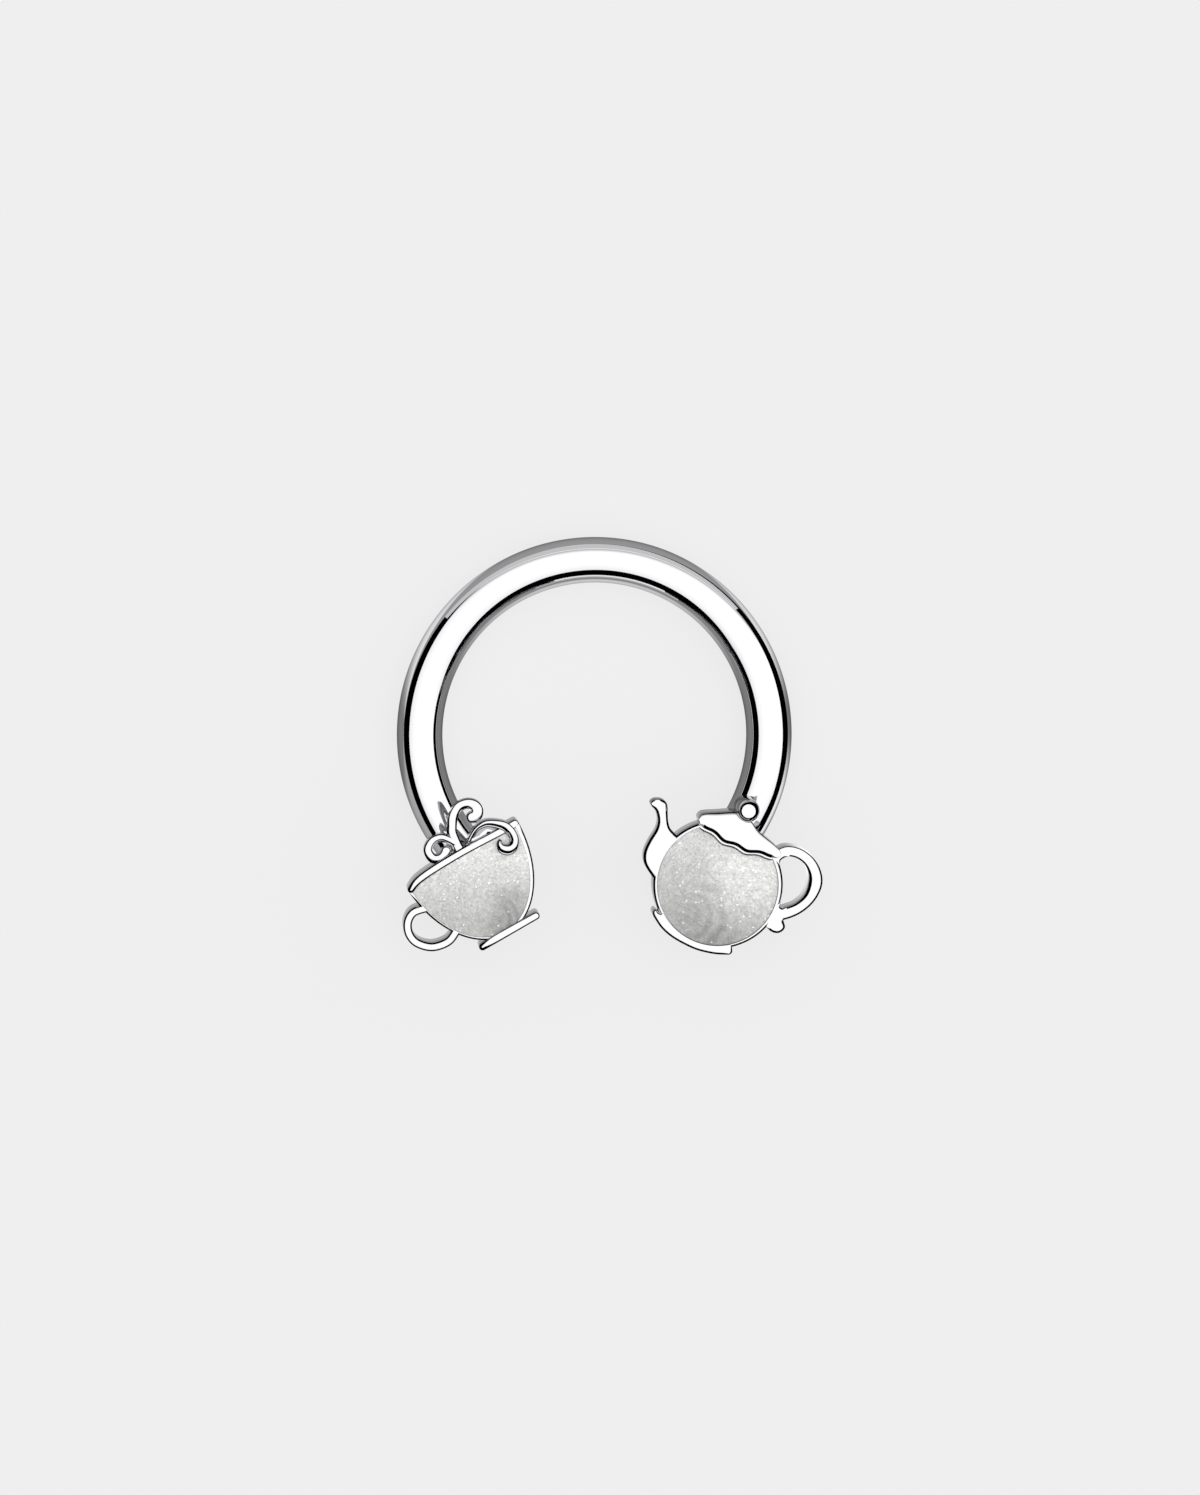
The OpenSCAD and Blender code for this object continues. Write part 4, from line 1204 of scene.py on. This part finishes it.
right_curl = band("right_curl", right_curl_rows, steam_back + hair(4), front + curl_rise,
                  curl_edge, True, True, steam_tilt, first=steam_soft)

step_left, step_down, step_drop, step_edge, step_share = 0.025, 0.045, 0.12, 0.04, 0.5
step_rows = [(x - step_left, y - step_down, half, step_share, step_share)
             for x, y, half, *_ in right_curl_rows]
curl_step = band("curl_step", step_rows, steam_back + hair(6), front + curl_rise - step_drop,
                 step_edge, True, True)

web_up, web_share, web_edge, web_soft = 0.1, 0.6, 0.03, 0.45
web_points = anticlockwise([row for row in smooth(right_curl_rows) if row[1] > 0])
web = slab("web", web_points, steam_back + web_up, steam_back + web_up + web_share * steam_t,
           web_edge, first=web_soft)
print("The right curl reaches %.2f mm to the right" % max(row[0] for row in right_curl_rows))

# %% One casting out of the teacup's forms
cup_plate = [put(form, on_cup) for form in (bowl, cup_handle)] + [boss(cup_end, 1, cup_boss_d)]
teacup = fuse(cup_plate, [put(cup_pocket, on_cup), bore(cup_end, 1)])
cup_forms = (lip, cup_foot, web, stem, left_curl, curl_step, right_curl)
teacup = fuse([teacup] + [put(form, on_cup) for form in cup_forms])
finish_piece(teacup, "teacup_casting", steel, "teacup")

# %% [markdown]
# ## The teacup's enamel
# The cup's enamel is the same flat lens, drawn out to the depth of the cup and cut to the pocket's outline.
# The lip, the foot and the right curl with its step stand on it, so they are cut out of it too, each a gap
# wider than it is. Each cutter reaches a little further than the last, so that no two end in one plane.

# %% A cutter round a form
def space_round(name, rows, reach):
    """A plain band, a gap wider than the one with these rows, that reaches past the enamel on both sides"""
    wider = [(x, y, half + enamel_gap) for x, y, half, *_ in rows]
    return band(name, wider, pocket_floor - reach, front + reach, 0.001, True, True, 0.0, 0.001)


# %% The teacup's enamel
spare = 0.3
cup_fill = dome("cup_fill", cup_r + spare, (bowl_swell * cup_depth + spare) / (cup_r + spare))
inside = slab("inside", bowl_outline(cup_rim + enamel_gap, rim_shift, foot_level + enamel_gap),
              pocket_floor - 1, front + 1, 0, 0)
combine(cup_fill, inside, "INTERSECT")
cup_cutters = [
    space_round("lip_space", lip_rows, 1.0), space_round("curl_space", right_curl_rows, 1.2),
    space_round("step_space", step_rows, 1.3), space_round("foot_space", cup_foot_rows, 1.1)]
cup_fill = fuse([put(cup_fill, on_cup)], [put(cutter, on_cup) for cutter in cup_cutters])
finish_piece(cup_fill, "teacup_enamel_fill", cup_enamel_paint, "teacup_enamel")
